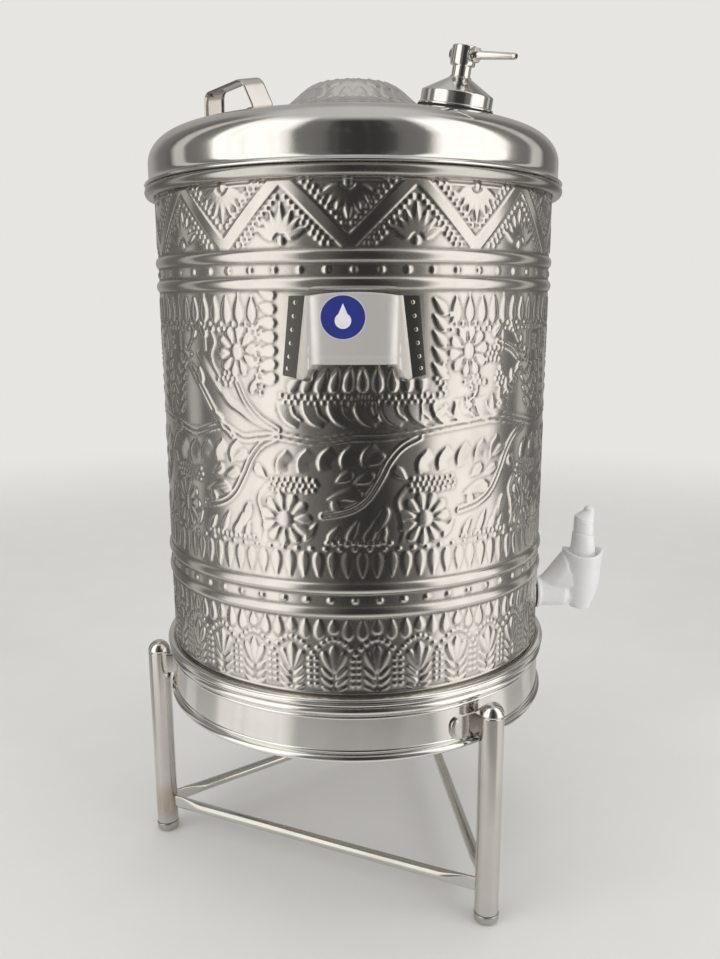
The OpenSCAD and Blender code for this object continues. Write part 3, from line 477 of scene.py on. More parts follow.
@dataclass(frozen=True)
class Finish:
    """A finish: its record slot, and the material that its class builds once."""

    name: str
    slot: str

    @property
    def material(self) -> bpy.types.Material:
        """The finish's material, made when it is first asked for.

        Returns:
            The material, with its nodes.
        """
        known = bpy.data.materials.get(self.name)
        if known:
            return known
        made = bpy.data.materials.new(self.name)
        graph = Graph(made)
        sockets = self.shade(graph)
        shader = graph.node("ShaderNodeBsdfPrincipled", None, sockets)
        graph.node("ShaderNodeOutputMaterial", None, {0: shader})
        return made

    def shade(self, graph: Graph) -> dict:
        """Values and links of the shader's sockets."""
        raise NotImplementedError

    @staticmethod
    def where(graph: Graph) -> Sock:
        """Object coordinates, in metres of the shared frame."""
        return graph.node("ShaderNodeTexCoord", None, None, "Object")


@dataclass(frozen=True)
class Steel(Finish):
    """Stainless steel: polishing marks, smudges, painted shade in the relief's hollows and a dull film on the
    inside.

    The tint is the place of a heat mark, in metres.
    """

    tone: Colour = (0.66, 0.635, 0.6)
    rough: float = 0.16
    grain: Grain = Grain.CLOUDY
    grain_depth: float = 0.10
    smudge: float = 0.10
    hollow: bool = False
    tint: tuple[float, ...] = ()
    metal: float = 1.0
    inner_film: float = 0.0
    heat_colour: Colour = (0.33, 0.20, 0.10)
    hollow_shade_colour: Colour = (0.15, 0.135, 0.115)
    hollow_shade_cover: float = 0.66
    cloud_scale: float = 26.0
    fine_scale: float = 420.0

    def shade(self, graph: Graph) -> dict:
        """Roughness = base + marks + smudges. Colour = tone darkened by smudges and heat, and by painted
        shade in hollows.

        Args:
            graph: Nodes of the material.

        Returns:
            Values and links of the shader's sockets.
        """
        at = self.where(graph)
        x, y, z = graph.split(at)
        radius = (x * x + y * y) ** 0.5
        if self.grain is Grain.ROUND:
            lined = graph.vector(radius * 2600, z * 2600, x * 9 + y * 7)
        elif self.grain is Grain.UP:
            lined = graph.vector(x * 2400, y * 2400, z * 30)
        else:
            lined = graph.vector(x * 900, y * 900, z * 900)
        marks = graph.noise(lined, 1.0, 2.0)
        cloud = graph.noise(at, self.cloud_scale, 4.0)
        fine = graph.noise(at, self.fine_scale, 2.0)
        film = cloud.step(0.42, 0.72)
        rough = self.rough + (marks - 0.5) * self.grain_depth + film * self.smudge + (fine - 0.5) * 0.05
        colour = graph.mix(film * 0.5, rgba(self.tone), rgba(self.tone, 0.86))
        colour = graph.mix((marks - 0.5) * 0.35 + 0.2, colour, rgba(self.tone, 0.92))
        if self.tint:
            tx, ty, tz = self.tint
            away = ((x - tx) ** 2.0 + (y - ty) ** 2.0 + (z - tz) ** 2.0) ** 0.5 + (cloud - 0.5) * 0.012
            heat = 1 - away.step(0.006, 0.026)
            colour = graph.mix(heat * 0.4, colour, rgba(self.heat_colour))
            rough = rough + heat * 0.12
        # Painted shade: the steel's colour is darkened where the relief sits below its blurred self
        # (attribute hollow).
        if self.hollow:
            deep = graph.node("ShaderNodeAttribute", {"attribute_name": "hollow"}, None, "Fac")
            hollow_shade = (deep * (0.7 + fine * 0.6)) & 1.0
            colour = graph.mix(hollow_shade * self.hollow_shade_cover, colour, rgba(self.hollow_shade_colour))
            rough = rough + hollow_shade * 0.20
        metal = self.metal
        if self.inner_film:
            nx, ny, nz = graph.split(graph.node("ShaderNodeTexCoord", None, None, "Normal"))
            facing = (nx * x + ny * y) / (radius | 0.001) + nz * 0.3
            inner = 1 - facing.step(-0.12, 0.0)
            metal = 1 - inner * self.inner_film
            rough = rough + inner * 0.15
        normal = graph.bump(marks + fine * 0.6, 0.12, 0.00012)
        return {"Base Color": colour, "Metallic": metal, "Roughness": (rough | 0.05) & 0.9, "Normal": normal}


@dataclass(frozen=True)
class Plastic(Finish):
    """Moulded plastic: a cloudy body colour, a fine moulded skin and a little light let in."""

    tone: Colour = (0.91, 0.915, 0.92)
    shade_tone: Colour = (0.82, 0.83, 0.845)
    rough: float = 0.30
    depth: float = 0.25
    cloud_scale: float = 45.0
    skin_scale: float = 1400.0

    def shade(self, graph: Graph) -> dict:
        """Colour = tone clouded by noise, roughness and bump from a fine noise.

        Args:
            graph: Nodes of the material.

        Returns:
            Values and links of the shader's sockets.
        """
        at = self.where(graph)
        cloud = graph.noise(at, self.cloud_scale, 3.0)
        skin = graph.noise(at, self.skin_scale, 2.0)
        colour = graph.mix(cloud.step(0.35, 0.75) * 0.55, rgba(self.tone), rgba(self.shade_tone))
        normal = graph.bump(skin + cloud * 0.8, 0.10, 0.0002)
        return {
            "Base Color": colour,
            "Roughness": self.rough + (skin - 0.5) * 0.16 + cloud * 0.08,
            "Normal": normal,
            "Subsurface Weight": self.depth,
            "Subsurface Radius": (0.006, 0.006, 0.0065),
            "Subsurface Scale": 1.0,
            "Coat Weight": 0.15,
        }


@dataclass(frozen=True)
class Rubber(Finish):
    """Moulded rubber: dark, with a dusty bloom."""

    tone: Colour = (0.028, 0.027, 0.026)
    bloom_scale: float = 70.0
    skin_scale: float = 1800.0

    def shade(self, graph: Graph) -> dict:
        """Colour = tone with a paler bloom, roughness and bump from a fine noise.

        Args:
            graph: Nodes of the material.

        Returns:
            Values and links of the shader's sockets.
        """
        at = self.where(graph)
        bloom = graph.noise(at, self.bloom_scale, 4.0).step(0.45, 0.8)
        skin = graph.noise(at, self.skin_scale, 2.0)
        colour = graph.mix(bloom * 0.5, rgba(self.tone), rgba(self.tone, 2.6))
        return {"Base Color": colour, "Roughness": 0.6 + skin * 0.25, "Normal": graph.bump(skin, 0.2, 0.0002)}


@dataclass(frozen=True)
class Sticker(Finish):
    """Printed label: a blue disc with a white edge and a plain white water drop."""

    blue: Colour = (0.012, 0.028, 0.23)
    white: Colour = (0.80, 0.80, 0.78)
    edge: tuple[float, float] = (0.972, 0.984)
    bowl_drop: float = 0.16
    bowl_radius: float = 0.36
    tip_top: float = 0.62
    tip_spread: float = 0.42
    wear_scale: float = 160.0

    def shade(self, graph: Graph) -> dict:
        """Mask = edge ring or drop, in the label's own UV map. The drop is a circle with a narrowing tip.

        Args:
            graph: Nodes of the material.

        Returns:
            Values and links of the shader's sockets.
        """
        uv = graph.node("ShaderNodeUVMap", {"uv_map": "label"})
        u, v, _ = graph.split(uv)
        ring = 1 - ((u * u + v * v) ** 0.5).step(*self.edge)
        bowl = (u * u + (v + self.bowl_drop) ** 2.0) ** 0.5 < self.bowl_radius
        side = (u * u) ** 0.5 < (self.tip_top - v) * self.tip_spread
        tip = side * (v < self.tip_top) * (1 - (v < -0.02))
        mark = (bowl | tip) | (1 - ring)
        wear = graph.noise(self.where(graph), self.wear_scale, 4.0)
        colour = graph.mix(mark, rgba(self.blue), rgba(self.white))
        colour = graph.mix(wear.step(0.5, 0.8) * 0.25, colour, rgba(self.blue, 1.8))
        normal = graph.bump(wear, 0.05, 0.0002)
        return {"Base Color": colour, "Roughness": 0.32 + wear * 0.18, "Coat Weight": 0.3, "Normal": normal}


PALE_TONE = (0.83, 0.81, 0.78)
TUBE_TONE = (0.65, 0.625, 0.59)
EMBOSSED = Steel(
    "embossed_sheet_steel", "embossed_steel", grain=Grain.UP, grain_depth=0.05, smudge=0.06, hollow=True,
    inner_film=0.5,
)
POLISHED = Steel("polished_sheet_steel", "polished_steel", PALE_TONE, 0.10, Grain.ROUND, 0.05, 0.07)
LINED = Steel(
    "polished_lid_steel", "polished_steel", PALE_TONE, 0.10, Grain.ROUND, 0.05, 0.07, inner_film=0.5
)
BRIGHT = Steel("bright_pressed_steel", "polished_steel", rough=0.13, grain_depth=0.05, smudge=0.08)
SATIN = Steel(
    "satin_pressed_steel", "polished_steel", (0.84, 0.82, 0.79), 0.46, Grain.UP, 0.10, 0.06, metal=0.70
)
TUBE = Steel("drawn_tube_steel", "steel", TUBE_TONE, 0.12, Grain.UP, 0.08, 0.07)
TINTED = Steel(
    "welded_tube_steel", "steel", TUBE_TONE, 0.12, Grain.UP, 0.08, 0.07, tint=(-0.1705, -0.0230, 0.029)
)
# Darker steel: the foot plugs' own tone, and on the drum's rim a painted shade under the lid's lip.
DARK_PLUG_AND_RIM_SHADE = Steel("dark_plug_and_rim_shade_steel", "polished_steel", (0.52, 0.50, 0.47), 0.17, smudge=0.12)
SHEET = Steel("inner_sheet_steel", "steel", rough=0.26, grain=Grain.ROUND, grain_depth=0.16, metal=0.6)
TAP_WHITE = Plastic("tap_white_plastic", "tap_plastic")
PUMP_WHITE = Plastic("pump_inner_plastic", "pump_plastic", (0.74, 0.73, 0.69), (0.62, 0.61, 0.57), 0.38)
SEAL = Rubber("seal_rubber", "rubber")
BLUE_LABEL = Sticker("blue_label", "label")


# Ornament


@dataclass
class Relief:
    """Height of the pressed ornament over the unrolled wall: rows of heights and columns of directions."""

    radius: float = 160.0
    low: float = 193.8
    high: float = 565.0
    rows: int = 443
    cols: int = 1200
    height: Array = field(init=False, repr=False)

    def __post_init__(self) -> None:
        """Lays out the grid's directions, in degrees, and heights, in millimetres."""
        self.step = 360 / self.cols
        self.turn = np.arange(self.cols) * self.step - 180
        self.z = np.linspace(self.low, self.high, self.rows)
        self.pitch = self.z[1] - self.z[0]
        self.degree = math.radians(self.radius)
        self.height = np.zeros((self.rows, self.cols))

    def window(self, s: float, z: float, reach_s: float, reach_z: float) -> tuple[tuple, Array, Array]:
        """Part of the grid around a point.

        Args:
            s, z: Direction in degrees and height in millimetres.
            reach_s, reach_z: Half sizes in millimetres.

        Returns:
            Index of the part, and its points' offsets from the point across and up, in millimetres.
        """
        c, n = round((s + 180) / self.step), int(reach_s / self.degree / self.step) + 2
        col = np.arange(c - n, c + n + 1)
        r, m = round((z - self.low) / self.pitch), int(reach_z / self.pitch) + 2
        row = np.arange(max(0, r - m), max(0, min(self.rows, r + m + 1)))
        x = (col * self.step - 180 - s) * self.degree
        return np.ix_(row, col % self.cols), x[None, :], (self.z[row] - z)[:, None]

    def lift(self, index: tuple, height: Array) -> None:
        """Raises part of the grid to a height where it is lower."""
        self.height[index] = np.maximum(self.height[index], height)

    def bead(self, s: float, z: float, radius: float = 2.1, rise: float = 1.5) -> None:
        """Round bead: rise * sqrt(1 - d^2 / radius^2)."""
        index, x, y = self.window(s, z, radius, radius)
        self.lift(index, rise * np.sqrt(np.clip(1 - (x * x + y * y) / radius**2, 0, 1)))

    def leaf(
        self, s: float, z: float, heading: float, length: float, width: float,
        rise: float = 1.8, vein: float = 0.0,
    ) -> None:
        """Leaf with a round base and a pointed tip: half width 1.3 width sqrt(t) (1 - t), domed across.

        Args:
            s, z: Base.
            heading: Direction of the tip: 0 towards the tap, 90 up.
            length, width: Sizes in millimetres.
            rise: Height of its middle.
            vein: Depth of a crease along the middle.
        """
        a = math.radians(heading)
        index, x, y = self.window(s, z, length, length)
        t = np.clip((x * math.cos(a) + y * math.sin(a)) / length, 0, 1)
        across = np.abs(y * math.cos(a) - x * math.sin(a))
        half = 1.3 * width * np.sqrt(t) * (1 - t)
        dome = rise * np.clip(1 - (across / np.maximum(half, 1e-6)) ** 2, 0, 1) ** 0.55
        self.lift(index, dome - vein * np.exp(-((across / 0.7) ** 2)) * (dome > 0))

    def line_window(self, points: Line, reach: float) -> tuple[tuple, Array, Array, Array]:
        """Grid part around a curve, with each point's nearest sample on it.

        Args:
            points: Points that the curve goes through, as (direction, height).
            reach: Room around the curve.

        Returns:
            Index of the part, distance to the curve, the nearest sample's share along it, and the side:
            1 left, -1 right.
        """
        p = np.array(points, float) * (self.degree, 1.0)
        line = smooth_line(p, max(9, math.ceil(np.linalg.norm(np.diff(p, axis=0), axis=1).max() / 0.8)))
        low, high = line.min(0) - reach, line.max(0) + reach
        mid, half = (low + high) / 2, (high - low) / 2
        index, x, y = self.window(mid[0] / self.degree, mid[1], half[0], half[1])
        dx = (x + mid[0])[..., None] - line[:, 0]
        dy = (y + mid[1])[..., None] - line[:, 1]
        near = np.argmin(dx * dx + dy * dy, -1)
        tangent = np.gradient(line, axis=0)[near]
        vx, vy = (np.take_along_axis(v, near[..., None], -1)[..., 0] for v in np.broadcast_arrays(dx, dy))
        side = np.sign(tangent[..., 0] * vy - tangent[..., 1] * vx)
        return index, np.hypot(vx, vy), near / (len(line) - 1), side

    def stem(self, points: Line, width: float = 1.0, rise: float = 1.3, pair: float = 0.0) -> None:
        """Ridge along a curve, or a pair of ridges: rise * sqrt(1 - (d - pair / 2)^2 / width^2)."""
        index, d, _, _ = self.line_window(points, width + pair)
        self.lift(index, rise * np.sqrt(np.clip(1 - ((d - pair / 2) / width) ** 2, 0, 1)))

    def lobe(self, points: Line, soft: float = 5.0, rise: float = 1.8, left: bool = True) -> None:
        """Leaf lobe that swells along a curve: a crisp edge at the curve, falling gently on one side of it.

        Args:
            points: Points that the edge goes through.
            soft: Width of the gentle side.
            rise: Height at the edge.
            left: Whether the gentle side is on the left.
        """
        index, d, t, side = self.line_window(points, soft)
        fall = np.where(side == (1 if left else -1), d / soft, d / 0.9)
        self.lift(index, rise * np.clip(1 - fall, 0, 1) ** 0.8 * np.sin(np.pi * np.clip(t, 0, 1)) ** 0.5)

    def daisy(self, s: float, z: float, hub: float, reach: float, petals: int, turn: float = 0.0) -> None:
        """Flower: a domed hub in a ring of petals that are round outside.

        Args:
            s, z: Middle.
            hub, reach: Radius of the hub and of the whole flower.
            petals: Number of petals.
            turn: Direction of the first one.
        """
        length, width = reach - hub - 0.4, 4.6 * reach / petals
        for angle in np.arange(petals) * 360 / petals + turn:
            a = math.radians(angle)
            x, y = reach * math.cos(a), reach * math.sin(a)
            self.leaf(s + x / self.degree, z + y, angle + 180, length, width, 1.55)
        self.bead(s, z, hub, 1.9)

    def feather(self, points: Line, count: int, length: float, width: float, lean: float = 48.0) -> None:
        """Stem with pairs of leaves that lean forwards and shrink towards its tip, and a leaf at the tip.

        Args:
            points: Points that the stem goes through.
            count: Number of pairs.
            length, width: Sizes of the first leaves.
            lean: Angle between a leaf and the stem.
        """
        line = smooth_line(points, 24)
        step = np.gradient(line * (self.degree, 1.0), axis=0)
        way = np.degrees(np.arctan2(step[:, 1], step[:, 0]))
        self.stem(points, 0.85, 1.5)
        for i in range(count):
            n = int((0.05 + 0.88 * i / count) * (len(line) - 1))
            size = 1 - 0.45 * i / count
            for side in (-1, 1):
                self.leaf(*line[n], way[n] + side * lean, length * size, width * size, 1.9, 0.3)
        self.leaf(*line[-1], way[-1], length * 0.75, width * 0.7, 1.8)

    def cluster(self, s: float, z: float, half_w: float, half_h: float, pitch: float = 4.4) -> None:
        """Beads packed in staggered rows inside an ellipse, each a little off its place and of its own size.

        Args:
            s, z: Middle.
            half_w, half_h: Half sizes of the ellipse.
            pitch: Distance of two beads in a row.
        """
        for row in range(-8, 9):
            for col in range(-12, 13):
                x, y = (col + row % 2 / 2) * pitch, row * pitch * 0.87
                if (x / half_w) ** 2 + (y / half_h) ** 2 <= 1:
                    stray = math.sin(12.9 * (s + col) + 7.7 * row)
                    across, up = x + 0.5 * stray, y + 0.5 * math.cos(9 * stray)
                    self.bead(s + across / self.degree, z + up, 2.0 + 0.2 * stray, 1.5)

    def flatten(self, s: float, low: float, high: float, half: float, ease_out: float = 3.0) -> None:
        """Presses the ornament flat under a fitting: a box that eases out over a few millimetres.

        Args:
            s: Direction of the box's middle.
            low, high: Heights of its edges.
            half: Half its width.
            ease_out: Width of the slope round it.
        """
        index, x, y = self.window(s, (low + high) / 2, half + ease_out, (high - low) / 2 + ease_out)
        outside = np.maximum(np.abs(x) - half, np.abs(y) - (high - low) / 2)
        self.height[index] *= ease(outside / ease_out)

    @staticmethod
    def blurred(height: Array, passes: int) -> Array:
        """Height averaged with its neighbours a number of times, round the drum and up.

        Args:
            height: Heights as (rows, cols).
            passes: Number of times.

        Returns:
            Averaged heights.
        """
        for _ in range(passes):
            height = (np.roll(height, 1, 1) + 2 * height + np.roll(height, -1, 1)) / 4
            tall = np.pad(height, ((1, 1), (0, 0)), "edge")
            height = (tall[:-2] + 2 * tall[1:-1] + tall[2:]) / 4
        return height


@dataclass
class Ornament:
    """The drum's bands: zigzag and fans, rows of dots, flowers between leaf borders, and palmettes."""

    relief: Relief = field(default_factory=Relief)
    zigzags: int = 11
    zigzag_shift: float = -1.3
    zigzag_foot: float = 519.5
    zigzag_peak: float = 563.5
    cells: int = 10
    palmettes: int = 32
    border_leaves: int = 96
    border_low: float = 308.6
    border_high: float = 468.3
    daisy_height: float = 448.5
    daisy: tuple[float, ...] = (5.8, 17.6, 10, 8)
    cell_height: float = 331.5
    cell_daisy: tuple[float, ...] = (6.2, 19.5, 11, 4)
    fans: tuple[int, ...] = (-66, -44, -22, 0, 22, 44, 66)
    press: float = 0.5
    unevenness: float = 0.05
    ribs: tuple[float, ...] = (263.7, 281.7, 494.3, 512.3)
    rib_width: float = 9.0
    rib_rise: float = 2.2
    edge_lines: tuple[tuple[float, float, float], ...] = ((201.4, 0.8, 1.6), (558.6, 0.5, 1.4))
    dot_rows: tuple[tuple[float, int], ...] = ((503.3, 55), (272.7, 57))
    dot: tuple[float, float] = (2.6, 0.95)

    def build(self) -> Relief:
        """Presses every band, flattens the places of the fittings, and adds the ribs and a faint unevenness.

        Returns:
            The relief with all its heights.
        """
        r = self.relief
        self.top_band()
        self.flower_band()
        self.palmette_band()
        for s in (0, 180):
            r.flatten(s, 443, 492, 46, 3)
            for side in (-14.4, 14.4):
                r.flatten(s + side, 431, 447, 10.0, 2)
        r.flatten(90, 212, 236, 13, 4)
        r.height *= self.press
        for z, count in self.dot_rows:
            for s in np.arange(count) * 360 / count:
                r.bead(s, z, *self.dot)
        seed = np.random.default_rng(7).normal(size=(r.rows // 8, r.cols // 8))
        wave = r.blurred(np.kron(seed, np.ones((8, 8))), 18)
        r.height[: wave.shape[0], : wave.shape[1]] += self.unevenness * wave / np.abs(wave).max()
        r.height = r.blurred(r.height, 1)
        arch = self.rib_width**2 / 8 / self.rib_rise + self.rib_rise / 2
        for z, rise, radius in [(z, self.rib_rise, arch) for z in self.ribs] + list(self.edge_lines):
            bow = np.sqrt(np.clip(radius**2 - (r.z - z) ** 2, 0, None)) - (radius - rise)
            r.height = np.maximum(r.height, np.clip(bow, 0, None)[:, None])
        return r

    def top_band(self) -> None:
        """Zigzag strips with a fan of petals and rows of beads in each triangle."""
        r, period = self.relief, 360 / self.zigzags
        foot, peak = self.zigzag_foot, self.zigzag_peak
        run = period / 2 * r.degree
        tilt = math.atan2(peak - foot, run)
        band = (r.z > 517.2) & (r.z < 561.5)
        share = np.abs(((r.turn - self.zigzag_shift) / period + 0.5) % 1 - 0.5) * 2
        gap = np.abs(r.z[band][:, None] - (foot + (peak - foot) * share)) * math.cos(tilt)
        strip = 1.5 * ease((5.0 - gap) / 0.9)
        r.height[band] = np.maximum(r.height[band], strip)
        for k in range(2 * self.zigzags):
            s, up = k * period / 2 + self.zigzag_shift, 1 if k % 2 else -1
            z, tip = (522.5, peak - 7.6 / math.cos(tilt)) if up > 0 else (558.5, foot + 7.6 / math.cos(tilt))
            r.bead(s, z, 3.4, 2.2)
            for lean in self.fans:
                length = min(20.5 / math.cos(math.radians(abs(lean) - 44)), 25.5) - 5.0
                a = math.radians(up * 90 + lean)
                x, y = 4.4 * math.cos(a), 4.4 * math.sin(a)
                r.leaf(s + x / r.degree, z + y, math.degrees(a), length, 7.2, 2.0, 0.3)
            for side in (-1, 1):
                for i in range(10):
                    x, h = (4.4 + i * 4.7) * math.cos(tilt), (4.4 + i * 4.7) * math.sin(tilt)
                    if 519.5 < tip - up * h < 560.0:
                        r.bead(s + side * x / r.degree, tip - up * h, 2.25, 1.7)
                        if i >= 5:
                            r.bead(s + side * (x - 5.0) / r.degree, tip - up * h, 2.1, 1.6)

    def palmette_band(self) -> None:
        """Teardrop row over bead arches, with a palmette in each arch and bead columns between them."""
        r, period = self.relief, 360 / self.palmettes
        for k in range(self.palmettes):
            c = (k + 0.5) * period
            for d in (-1, 0, 1):
                base = max(243.0, self.arch(d / 3) + 3.4)
                r.leaf(c + d * period / 3, base, 90, 259.4 - base, 8.6, 1.35)
            for d in np.linspace(-0.5, 0.5, 9)[:-1]:
                r.bead(c + d * period, self.arch(d), 2.0, 1.3)
            for z in np.arange(227.5, 203, -4.9):
                r.bead(k * period - 0.8, z, 1.9, 1.2)
                r.bead(k * period + 0.8, z, 1.9, 1.2)
            r.leaf(c, 238.5, -90, 22, 7.6, 1.5)
            for side in (-1, 1):
                r.leaf(c + side * 2.9, 234.0, -90 - side * 22, 19, 6.4, 1.4)
                for z, lean, length in ((213.0, 46, 11.5), (207.0, 40, 11.0), (202.2, 30, 9.5)):
                    r.leaf(c + side * 0.5, z, 90 - side * (90 - lean), length, 5.4, 1.3)
            r.bead(c, 203.8, 2.1, 1.3)

    @staticmethod
    def arch(share: float) -> float:
        """Height of a bead arch at a share of its period from its middle."""
        return 232 + 11.5 * math.cos(math.pi * share)

    def flower_band(self) -> None:
        """Leaf borders, also round each handle, a waving vine, daisies above it and flower cells below."""
        r, pitch = self.relief, 360 / self.border_leaves
        for k in range(self.border_leaves):
            r.leaf((k + 0.5) * pitch, self.border_low, -90, 19.5, 8.4, 1.1)
            r.bead(k * pitch, 310.9, 1.9, 1.3)
        for half in (0, 180):
            for s in np.arange(26, 155, 4.0):
                r.leaf(half + s, self.border_high, 90, 19.0, 9.4, 1.5)
                r.bead(half + s + 2, 467.4, 2.0, 1.5)
                r.bead(half + s + 1, 463.6, 1.9, 1.4)
                r.bead(half + s - 1, 463.6, 1.9, 1.4)
            self.handle_border(half)
            self.upper_field(half)
            self.side_flower(half + 90)
            for side in (64, 116):
                self.spray(half + side)
        for k in range(self.cells):
            self.flower_cell((k + 0.5) * 360 / self.cells)

    def handle_border(self, half: float) -> None:
        """Leaves and beads down both sides of a handle and under it, with a row of curled lobes below.

        Args:
            half: Direction of the handle's middle.
        """
        r = self.relief
        for z in (486, 477, 468, 459, 450, 441, 432):
            r.leaf(half - 19.4, z, 180 + 0.6 * (459 - z), 14.0, 8.8, 1.5)
        for z in (478, 467, 456, 445, 434):
            r.leaf(half + 23.4, z - 4, 134, 15.5, 8.4, 1.9)
        for i, s in enumerate(np.arange(-16.5, 19, 3.7)):
            r.leaf(half + s, 421.5, min(90, 52 + 7.6 * i), 18.0, 8.6, 1.9)
        for s in np.arange(-18.5, 21, 1.66):
            r.bead(half + s, 418.4 + 0.7 * math.sin(5 * s), 2.0, 1.5)
            r.bead(half + s + 0.8, 414.6 + 0.7 * math.sin(7 * s), 1.9, 1.4)
        for s in np.arange(-19.5, 37, 6.5):
            at = half + s
            r.lobe([(at, 415.5), (at + 0.2, 408), (at + 2.0, 401), (at + 5.2, 397.2)], 11.0, 1.95)
            r.stem([(at + 3.8, 411.5), (at + 4.4, 406.5), (at + 6.2, 402.5)], 0.8, 1.6)

    def upper_field(self, half: float) -> None:
        """Field beside a handle: vine, two daisies, forked stems, leaf edges, blades and clusters of beads.

        Args:
            half: Direction of the handle's middle.
        """
        r = self.relief
        vine = (
            (-60, 394), (-48, 388.5), (-37, 395), (-30, 388), (-25, 389.4), (-19.7, 390.6), (-9, 388),
            (0, 391), (10, 391.7), (20, 395), (30, 397.7), (40, 399), (52, 395), (62, 391.5), (75, 397),
            (90, 391), (105, 397), (120, 394),
        )
        stems = (
            (4.0, vine),
            (3.8, ((-48.5, 436), (-47, 431.7), (-43, 418), (-38.4, 402), (-33, 389))),
            (3.2, ((-31, 427), (-28.5, 414), (-24.5, 403), (-19.5, 395))),
            (0.0, ((-40, 464), (-38.4, 455), (-39.6, 447), (-39.2, 439.4), (-37.2, 431.7), (-35, 426))),
            (3.4, ((40, 454), (45.5, 449), (50, 441), (57, 436))),
        )
        feathers = (
            (((58, 403), (55, 424), (51.5, 444), (47, 461)), 6, 15.0, 8.0),
            (((38, 403), (42, 414), (46, 425), (48.5, 433)), 4, 13.0, 7.6),
            (((-57, 399), (-55.5, 418), (-52.5, 438), (-47.5, 457)), 6, 15.0, 8.0),
            (((26, 402), (29, 409), (31.5, 416)), 3, 10.0, 6.5),
        )
        for points, count, length, width in feathers:
            r.feather([(half + s, z) for s, z in points], count, length, width)
        for pair, points in stems:
            r.stem([(half + s, z) for s, z in points], 0.95, 1.5, pair)
        edges = (
            (7.0, ((-38, 424), (-34.4, 412), (-30.4, 406), (-27, 400.6), (-20, 393))),
            (6.0, ((-46, 447), (-43, 437), (-39, 425), (-36, 416))),
        )
        for soft, points in edges:
            r.lobe([(half + s, z) for s, z in points], soft, 1.8)
        for s in (-31, 30):
            r.daisy(half + s, self.daisy_height, *self.daisy)
        blades = (
            (38, 459, 40, 14, 8), (-41.5, 458, 128, 14, 8), (-44, 424, 100, 14, 8), (-36, 398, 150, 16, 8),
            (-27, 420, 60, 13, 7), (45, 404, 160, 15, 8), (20, 404, 30, 14, 8),
        )
        for s, z, heading, length, width in blades:
            r.leaf(half + s, z, heading, length, width, 1.9, 0.4)
        clusters = (
            (38.3, 446, 8.5, 6.5), (41.2, 428, 4.5, 8), (32.2, 426.5, 9, 5), (22.3, 431, 4.5, 14),
            (25.2, 470, 3.6, 7), (-25.2, 462, 4.6, 7), (-24.2, 436, 4.2, 17), (-34.4, 429.5, 10, 4),
            (-43.5, 468, 4, 3),
        )
        for s, z, half_w, half_h in clusters:
            r.cluster(half + s, z, half_w, half_h)

    def side_flower(self, c: float) -> None:
        """Large flower between two sprays, with forked stems, leaf lobes and clusters of beads on both sides.

        Args:
            c: Direction of its middle.
        """
        r = self.relief
        r.daisy(c, self.daisy_height, *self.daisy)
        low_stem = ((1, 429), (2.4, 417), (6, 405), (10, 398))
        high_stem = ((6, 463), (9, 451), (7.6, 436), (4, 426))
        for sign in (-1, 1):
            r.stem([(c + sign * d, z) for d, z in low_stem], 0.9, 1.5, 3.2)
            r.stem([(c + sign * d, z) for d, z in high_stem], 0.9, 1.4)
            for foot in (426, 416, 407):
                edge = ((4, foot), (7, foot + 7), (10.6, foot + 8), (12.4, foot + 3))
                r.lobe([(c + sign * d, z) for d, z in edge], 6.5, 1.9, sign < 0)
            r.cluster(c + sign * 12.5, 446, 5, 9)
            r.leaf(c + sign * 9.4, 454, 90 - sign * 35, 13, 7, 1.8, 0.4)

    def spray(self, c: float) -> None:
        """Leaf spray that rises from the vine between two flowers.

        Args:
            c: Direction of its foot.
        """
        r = self.relief
        r.stem([(c + 1.5, 397), (c - 0.8, 412), (c + 0.8, 430), (c - 0.5, 446)], 0.9, 1.5, 3.2)
        r.leaf(c - 0.5, 444, 92, 17, 8.4, 2.0, 0.5)
        for i, z in enumerate((404, 413, 422, 431, 440)):
            for sign in (-1, 1):
                r.leaf(c + sign * 1.4, z + sign, 90 - sign * (58 - 4 * i), 15.5 - 1.3 * i, 7.4, 1.9, 0.4)
        for sign in (-1, 1):
            r.cluster(c + sign * 4.8, 453, 4, 7)

    def flower_cell(self, c: float) -> None:
        """Lower flower under a cluster of beads, with curled crescents, a forked branch and spiky leaves.

        Args:
            c: Direction of the flower's middle.
        """
        r = self.relief
        r.daisy(c, self.cell_height, *self.cell_daisy)
        r.cluster(c + 2.2, 356.5, 18, 7.5)
        for d, z in ((-1.6, 372.5), (4.0, 374), (9.6, 375.5), (15.2, 377), (20.4, 378)):
            at = c + d
            r.lobe([(at + 2.4, z + 9), (at, z + 3), (at - 0.7, z - 2.5), (at - 0.2, z - 9)], 8.5, 2.0)
        branch = ((-1.7, 390), (-6, 384), (-9.3, 374), (-12, 360), (-15.3, 346.5), (-19.6, 339), (-26, 335))
        r.stem([(c + d, z) for d, z in branch], 0.95, 1.5, 3.8)
        r.lobe([(c - 4.6, 358), (c - 7.6, 346), (c - 6.8, 335), (c - 5.8, 324), (c - 6.6, 314)], 4.0, 1.6)
        blades = (
            (-10.5, 378, 206, 15), (-13, 364, 200, 16), (-16, 350.5, 192, 14), (-22, 338, 112, 12),
            (-10, 341, 250, 20), (19, 353, 196, 24), (-8.5, 369, 320, 13), (17.5, 366, 210, 14),
        )
        for d, z, heading, length in blades:
            r.leaf(c + d, z, heading, length, 8.6, 1.5, 0.4)
        spikes = (
            (-15.5, 60, 15), (-11.5, 72, 12), (5.2, 56, 16), (11.2, 55, 14), (16.2, 64, 18), (21.6, 72, 19),
        )
        for d, heading, length in spikes:
            r.leaf(c + d, 316.6, heading, length, 6.4, 1.5, 0.4)
        r.cluster(c + 19, 315.4, 26, 2.4)


# Sub-assemblies


LEG_RADIUS = 177.3
LEG_TURN = 65.5
ROUND_STEPS = 288


